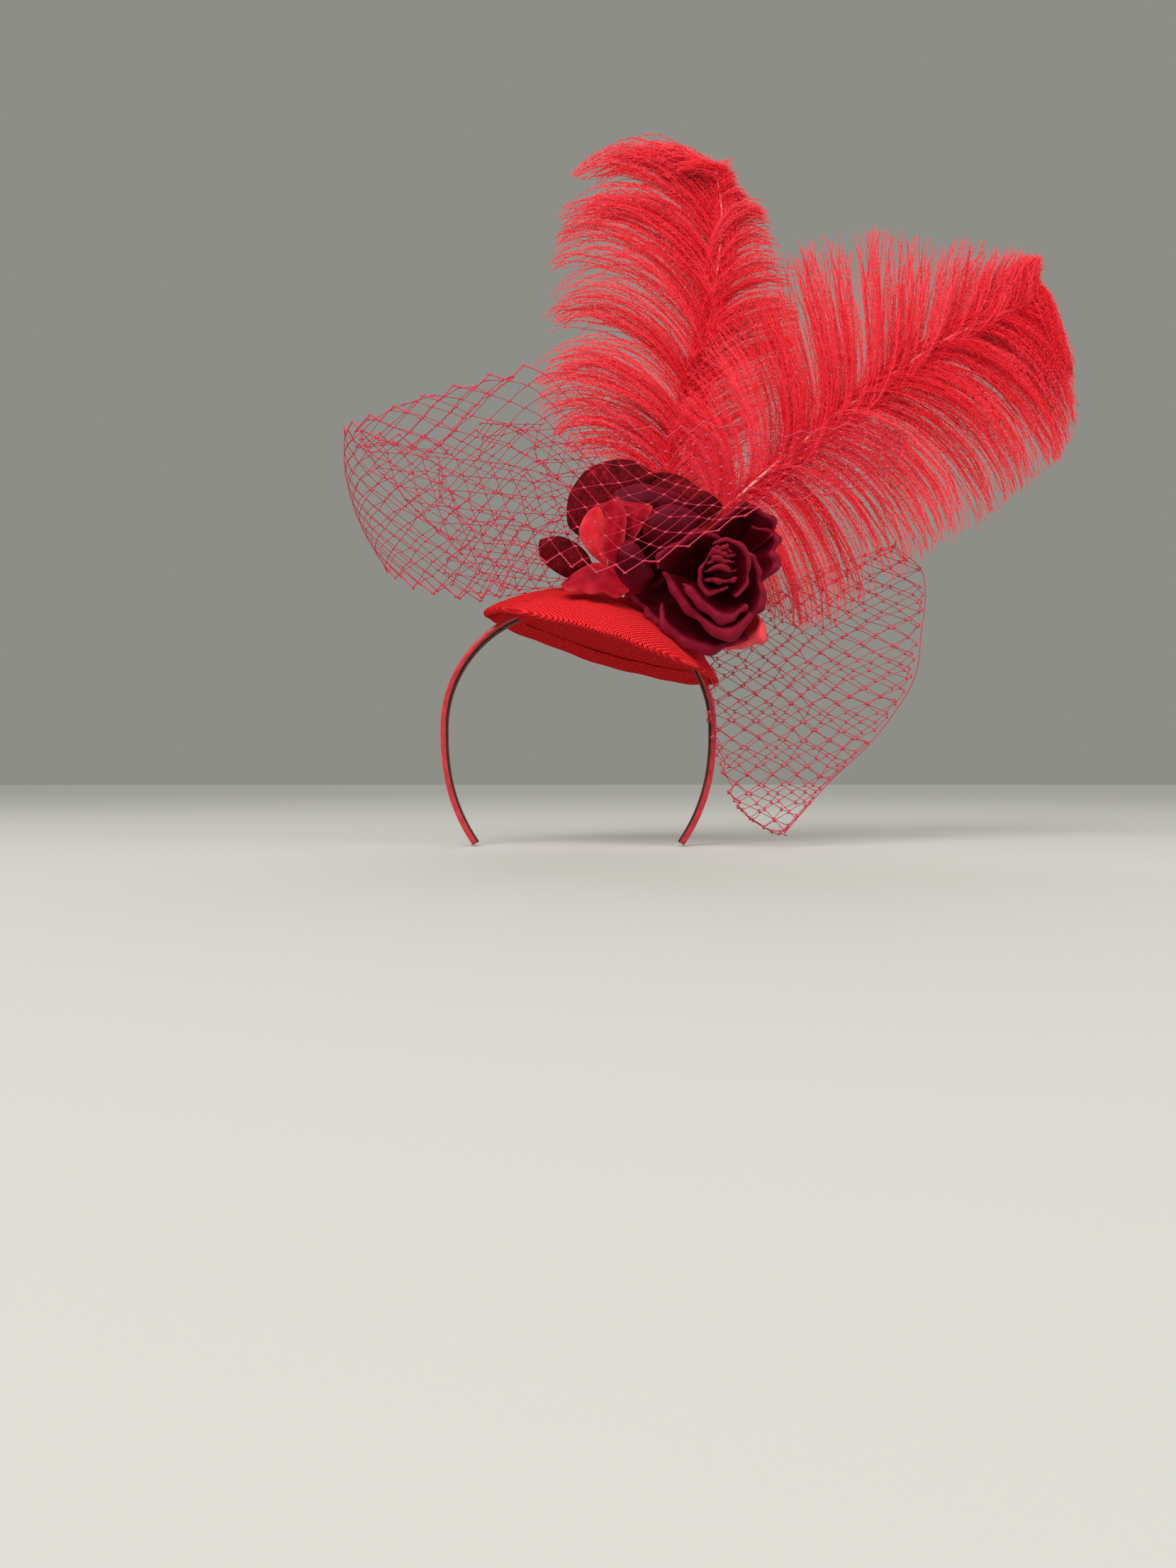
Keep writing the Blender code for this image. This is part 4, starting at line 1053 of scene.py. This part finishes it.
# Leaves and the back rose's petals lie between two edges, each given as (x, z), at a depth y.
# name, CAD node, colour, y, bulge to the front, lean (depth change from the first edge to the second), edges.
BLADES = (
    ("velvet_leaf_top", "leaf_top", "velvet", -0.016, 0.005, 0.004, (
        (-0.0005, 0.0400), (-0.0056, 0.0450), (-0.0062, 0.0547), (-0.0048, 0.0625), (-0.0005, 0.0700),
        (0.0044, 0.0753), (0.0123, 0.0795), (0.0250, 0.0812), (0.0340, 0.0786), (0.0446, 0.0720)),
        ((0.0010, 0.0400), (0.0100, 0.0430), (0.0240, 0.0460), (0.0360, 0.0540), (0.0450, 0.0700))),
    ("velvet_leaf_right", "leaf_right", "velvet", -0.014, 0.004, 0.003, (
        (0.0330, 0.0650), (0.0400, 0.0735), (0.0500, 0.0742), (0.0584, 0.0723), (0.0650, 0.0674),
        (0.0731, 0.0625), (0.0800, 0.0560)),
        ((0.0340, 0.0640), (0.0430, 0.0560), (0.0580, 0.0480), (0.0720, 0.0480), (0.0795, 0.0550))),
    ("velvet_leaf_left", "leaf_left", "velvet", -0.040, 0.004, 0.002, (
        (-0.0205, 0.0270), (-0.0200, 0.0317), (-0.0161, 0.0331), (-0.0095, 0.0336), (-0.0021, 0.0308),
        (0.0045, 0.0252), (0.0078, 0.0190)),
        ((-0.0203, 0.0260), (-0.0189, 0.0214), (-0.0114, 0.0149), (-0.0058, 0.0121), (0.0010, 0.0140),
         (0.0078, 0.0180))),
    ("back_rose_coral_petal", "back_rose_petals_4", "bright", -0.046, 0.005, 0.001, (
        (0.0098, 0.0488), (0.0052, 0.0448), (0.0022, 0.0405), (0.0006, 0.0353), (0.0020, 0.0298),
        (0.0054, 0.0242), (0.0110, 0.0195), (0.0156, 0.0160)),
        ((0.0104, 0.0488), (0.0130, 0.0450), (0.0146, 0.0400), (0.0147, 0.0353), (0.0138, 0.0300),
         (0.0146, 0.0230), (0.0160, 0.0160))),
    ("back_rose_coral_fold", "back_rose_petals_4", "coral", -0.045, 0.003, -0.002, (
        (0.0110, 0.0484), (0.0136, 0.0440), (0.0146, 0.0380), (0.0138, 0.0300), (0.0148, 0.0220),
        (0.0190, 0.0130)),
        ((0.0210, 0.0535), (0.0252, 0.0460), (0.0256, 0.0380), (0.0246, 0.0300), (0.0236, 0.0220),
         (0.0215, 0.0140))),
    ("back_rose_red_inner", "back_rose_petals_3", "coral", -0.038, 0.003, -0.003, (
        (0.0205, 0.0540), (0.0240, 0.0480), (0.0262, 0.0400), (0.0270, 0.0300)),
        ((0.0400, 0.0500), (0.0380, 0.0440), (0.0340, 0.0380), (0.0290, 0.0300))),
    ("back_rose_top_petal", "back_rose_petals_3", "burgundy", -0.030, 0.006, 0.003, (
        (0.0150, 0.0520), (0.0200, 0.0600), (0.0300, 0.0640), (0.0420, 0.0630), (0.0540, 0.0590),
        (0.0640, 0.0520)),
        ((0.0170, 0.0480), (0.0260, 0.0420), (0.0380, 0.0400), (0.0520, 0.0400), (0.0640, 0.0500))),
    ("back_rose_mid_petal", "back_rose_petals_2", "burgundy", -0.040, 0.006, 0.002, (
        (0.0340, 0.0330), (0.0360, 0.0440), (0.0440, 0.0500), (0.0550, 0.0500), (0.0660, 0.0440)),
        ((0.0350, 0.0310), (0.0420, 0.0250), (0.0520, 0.0240), (0.0620, 0.0300), (0.0665, 0.0430))),
    ("back_rose_dark_heart", "back_rose_petals_1", "burgundy", -0.034, -0.006, 0.0, (
        (0.0160, 0.0300), (0.0200, 0.0450), (0.0300, 0.0540), (0.0440, 0.0560), (0.0580, 0.0480)),
        ((0.0160, 0.0280), (0.0180, 0.0100), (0.0300, 0.0060), (0.0460, 0.0120), (0.0580, 0.0460))),
    ("back_rose_low_petal", "back_rose_petals_2", "burgundy", -0.047, 0.006, 0.002, (
        (0.0210, 0.0230), (0.0240, 0.0300), (0.0300, 0.0290), (0.0360, 0.0210), (0.0400, 0.0120)),
        ((0.0205, 0.0220), (0.0195, 0.0120), (0.0240, 0.0050), (0.0320, 0.0020), (0.0400, 0.0110))),
    ("back_rose_base_petal", "back_rose_bud", "coral", -0.046, 0.003, -0.006, (
        (-0.0090, 0.0070), (-0.0011, 0.0140), (0.0060, 0.0180), (0.0120, 0.0185), (0.0190, 0.0150),
        (0.0270, 0.0050)),
        ((-0.0090, 0.0064), (-0.0050, 0.0022), (0.0020, 0.0024), (0.0070, 0.0006), (0.0130, 0.0020),
         (0.0200, -0.0010), (0.0270, 0.0030))),
)
BLADE_ROWS = 40
BLADE_COLUMNS = 17


def blade_grid(first, second, y, bulge, lean, seed):
    """Points between two edges of equal start and finish, arched to the front and slightly rippled."""
    a, b = spline(first, BLADE_ROWS), spline(second, BLADE_ROWS)
    rng = np.random.default_rng(seed)
    phase = rng.uniform(0, math.tau, 4)
    t = np.linspace(0, 1, BLADE_ROWS)
    ripple = 0.0006 * np.sin(11 * t + phase[0]) + 0.0004 * np.sin(23 * t + phase[1])
    ends = np.sin(math.pi * t) ** 0.5
    columns = []
    for c in np.linspace(0, 1, BLADE_COLUMNS):
        flat = a * (1 - c) + b * c
        arch = math.sin(math.pi * c) ** 0.8 * ends
        edge = abs(2 * c - 1) ** 3
        depth = y + lean * c - bulge * arch + ripple * (0.3 + edge)
        depth += 0.0004 * np.sin(9 * c + 5 * t + phase[2])
        columns.append(np.stack([flat[:, 0], depth, flat[:, 1]], axis=1))
    return np.array(columns)


HEART_PROFILE = (
    (0.0001, 0.0150), (0.0040, 0.0148), (0.0070, 0.0120), (0.0085, 0.0060), (0.0070, -0.0010),
    (0.0030, -0.0050), (0.0001, -0.0055),
)


def build_rose_heart(mat):
    """The closed cone of rolled petals behind the pleats of the bud, left at rim 0 so that it takes the
    darkest tones of the burgundy ramp: painted shade of the rose's hollow.
    """
    centre = FRONT_HUB + np.array((0.0015, 0.0, 0.001))
    heart = spun("front_rose_heart", HEART_PROFILE, 48, mat, centre=centre, axis=FRONT_AXIS)
    # A rim of zero everywhere: painted shade.
    heart.data.attributes.new("rim", "FLOAT", "POINT")
    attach(heart, "headpiece")
    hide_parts("front_rose_bud")


LEAF_WIRE_ROUTE = (
    (0.068, -0.0131, 0.0600), (0.058, -0.0126, 0.0605), (0.047, -0.0095, 0.0520), (0.044, -0.0040, 0.0300),
)
LEAF_WIRE_RADIUS = 0.0005


def build_leaf_wire(mat):
    """The right leaf's wire, bent down behind it to the pad."""
    route = spline(LEAF_WIRE_ROUTE, 24)
    wire = tube_object("leaf_right_bent_wire", route, np.full(len(route), LEAF_WIRE_RADIUS), 8, mat)
    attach(wire, "headpiece")
    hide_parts("leaf_right_wire")


def build_blades(mats):
    # Painted highlight: the shade rises toward both long edges, so the petal materials make the edges lighter
    # and pinker where they turn over; the velvet material does not read it.
    across = np.abs(np.linspace(-1, 1, BLADE_COLUMNS)) ** 4
    shade = np.repeat(0.15 + 0.6 * across, BLADE_ROWS)
    for seed, (name, node, color, y, bulge, lean, first, second) in enumerate(BLADES, 70):
        grid = blade_grid(first, second, y, bulge, lean, seed)
        thickness = VELVET_CLOTH if color == "velvet" else PETAL_CLOTH
        cloth_piece(name, grid, shade, mats[color], node, thickness)


# Each petal colour: its material's name, then the dark, middle and light tones of its ramp; the ramp follows
# the rim attribute's painted shade and highlight as well as random veins.
PETAL_TONES = {
    "burgundy": ("burgundy_satin", (0.008, 0.0001, 0.0006), (0.070, 0.0004, 0.005), (0.25, 0.008, 0.026)),
    "coral": ("red_petal_satin", (0.10, 0.0005, 0.003), (0.36, 0.004, 0.014), (0.62, 0.045, 0.060)),
    "bright": ("coral_petal_satin", (0.36, 0.004, 0.010), (0.70, 0.022, 0.035), (0.86, 0.10, 0.11)),
}


def build_flowers():
    mats = {color: petal_material(*tones) for color, tones in PETAL_TONES.items()}
    mats["velvet"] = velvet_material()
    build_front_rose(mats)
    build_rose_heart(mats["burgundy"])
    build_blades(mats)


# ------------------------------------------------------------- headpiece


def spun(name, profile, steps, mat, centre=BASE_CENTRE, axis=BASE_AXIS, shape=None):
    """An open profile of (radius, height) spun about an axis through the centre."""
    axis = unit(np.array(axis, float))
    side = unit(np.cross((0, 1, 0), axis))
    other = np.cross(axis, side)
    profile = np.array(profile)
    turns = np.arange(steps) * math.tau / steps
    if shape is not None:
        profile = shape(profile, turns)
    else:
        profile = np.broadcast_to(profile, (steps, *profile.shape))
    radial = np.cos(turns)[:, None] * side + np.sin(turns)[:, None] * other
    grid = centre + profile[:, :, 0:1] * radial[:, None] + profile[:, :, 1:2] * axis
    return mesh_object(name, grid.reshape(-1, 3), grid_faces(steps, grid.shape[1], wraps=True), mat)


def saucer_wave(profile, turns):
    """The straw's slight unevenness: the rim rises and dips by under a millimetre."""
    share = (np.arctan2(profile[:, 0], profile[:, 1]) / BASE_HALF_ANGLE) ** 2
    lift = 0.0005 * np.sin(3 * turns + 0.6) + 0.0003 * np.sin(7 * turns) + 0.00018 * np.sin(17 * turns + 1)
    out = np.broadcast_to(profile, (len(turns), *profile.shape)).copy()
    out[:, :, 1] += lift[:, None] * share
    return out


def arc(radius, start, end, count):
    return [(radius * math.sin(a), radius * math.cos(a)) for a in np.linspace(start, end, count)]


def build_saucer(mat):
    tiny = 0.0002 / BASE_RADIUS
    profile = arc(BASE_RADIUS - STRAW_SINK, tiny, BASE_HALF_ANGLE - 0.01, 90)
    dome = spun("saucer_straw", profile, SAUCER_STEPS, mat, shape=saucer_wave)
    thicken(dome, STRAW_THICKNESS, offset=-1.0)
    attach(dome, "headpiece")
    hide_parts("base_top_layer")
    back = BASE_HALF_ANGLE - BINDING_ANGLE
    nose = BASE_HALF_ANGLE + BINDING_NOSE / BASE_RADIUS
    outer, inner = BASE_RADIUS, BASE_RADIUS - BINDING_DEPTH
    middle, half = (outer + inner) / 2, (outer - inner) / 2
    turned = []
    for t in np.linspace(0, math.pi, 9):
        r, a = middle + half * math.cos(t), nose + half * math.sin(t) / middle
        turned.append((r * math.sin(a), r * math.cos(a)))
    profile = arc(outer, back, nose - 0.004, 7) + turned + arc(inner, nose - 0.004, back, 7)
    rim = spun("saucer_rim", profile, SAUCER_STEPS, mat, shape=saucer_wave)
    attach(rim, "headpiece")
    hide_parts("rim_binding")


def band_line(count):
    """Points of the band's inner line from the left tip over the crown to the right tip, evenly spaced."""
    legs = np.linspace(BAND_TIP_Z, BAND_WIDEST_Z, 60)
    share = (BAND_WIDEST_Z - legs) / (BAND_WIDEST_Z - BAND_TIP_Z)
    reach = BAND_HALF_WIDTH - BAND_TIP_DRAWN_IN * share**BAND_LEG_POWER
    turns = np.radians(np.linspace(-89, 89, 120))
    across = (BAND_HALF_WIDTH - BAND_CROWN_FLAT) * np.sin(turns) + BAND_CROWN_FLAT * np.sign(turns)
    arch = np.stack([across, BAND_WIDEST_Z + BAND_RISE * np.cos(turns)], axis=1)
    line = np.vstack([np.stack([-reach, legs], axis=1), arch, np.stack([reach, legs], axis=1)[::-1]])
    run = np.concatenate([[0], np.cumsum(np.linalg.norm(np.diff(line, axis=0), axis=1))])
    even = np.linspace(0, run[-1], count)
    return np.stack([np.interp(even, run, line[:, k]) for k in range(2)], axis=1), even


def band_sweep(name, part, ring, mat, node_kind):
    """A closed ring of (across, out) swept along the left or the right half of the band."""
    line, run = band_line(2 * BAND_STEPS + 1)
    slope = unit(np.gradient(line, axis=0))
    normal = np.stack([-slope[:, 1], slope[:, 0]], axis=1)
    keep = slice(0, BAND_STEPS + 1) if part == "left_arm" else slice(BAND_STEPS, 2 * BAND_STEPS + 1)
    end = np.minimum(run, run[-1] - run)
    width = BAND_WIDTH_TIP + (BAND_WIDTH_CROWN - BAND_WIDTH_TIP) * np.minimum(end / (0.38 * run[-1]), 1)
    width *= 0.40 + 0.60 * np.sqrt(1 - (1 - np.minimum(end / 0.004, 1)) ** 2)
    rows = []
    for place, out, wide in zip(line[keep], normal[keep], width[keep]):
        rows.append([(place[0] + h * out[0], w * wide / 2, place[1] + h * out[1]) for w, h in ring])
    rows = np.array(rows)
    faces = grid_faces(rows.shape[1], rows.shape[0], wraps=True)
    obj = mesh_object(name, rows.transpose(1, 0, 2).reshape(-1, 3), faces, mat)
    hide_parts(f"{node_kind}_{part}", *([f"{node_kind}_crown"] if part == "left_arm" else []))
    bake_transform(obj)
    return obj


# Sections of the band's cover and ribbon, as (share of the half width, distance out from the inner line).
COVER_SECTION = (
    (-1.0, 0.0012), (-0.90, 0.0009), (0.90, 0.0009), (1.0, 0.0012), (1.02, 0.0024), (0.98, 0.0034),
    (0.85, 0.0039), (0.5, 0.0041), (0, 0.0042), (-0.5, 0.0041), (-0.85, 0.0039), (-0.98, 0.0034),
    (-1.02, 0.0024),
)
RIBBON_SECTION = (
    (-0.86, 0.0001), (0, 0.0), (0.86, 0.0001), (0.90, 0.0006), (0.88, 0.0012), (-0.88, 0.0012),
    (-0.90, 0.0006),
)


def build_headband():
    satin, lining = satin_material(), lining_material()
    for part in ("left_arm", "right_arm"):
        made = band_sweep(f"satin_cover_{part}", part, COVER_SECTION, satin, "band_satin")
        made = band_sweep(f"velvet_ribbon_{part}", part, RIBBON_SECTION, lining, "band_lining")


def paint_nodes(straw, wire):
    """Gives every CAD node that stays in view its own finished material."""
    core = plastic_material()
    buckram = plain_weave_material("buckram", (0.30, 0.006, 0.010), (0.55, 0.02, 0.03), 0.0011, 0.9)
    thread = plain_weave_material("binding_thread", (0.34, 0.005, 0.012), (0.66, 0.02, 0.03), 0.0005, 0.6)
    kinds = (("band_core", core), ("rim_wire", wire), ("trim_pad", buckram), ("front_rose_stem", wire),
             ("back_rose_stem", wire), ("leaf_", wire), ("left_plume_binding", thread),
             ("right_plume_binding", thread), ("base_under_layer", straw), ("band_keeper", straw))
    for name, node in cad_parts.items():
        for start, mat in kinds:
            if name.startswith(start):
                node.data.materials.clear()
                node.data.materials.append(mat)


def main():
    build_camera()
    build_stage()
    net = net_material()
    build_loop_net(net)
    build_inner_folds(net)
    build_drape_net(net)
    build_plumes()
    build_flowers()
    straw = straw_material()
    build_saucer(straw)
    build_headband()
    wire = wire_material()
    build_leaf_wire(wire)
    paint_nodes(straw, wire)


main()
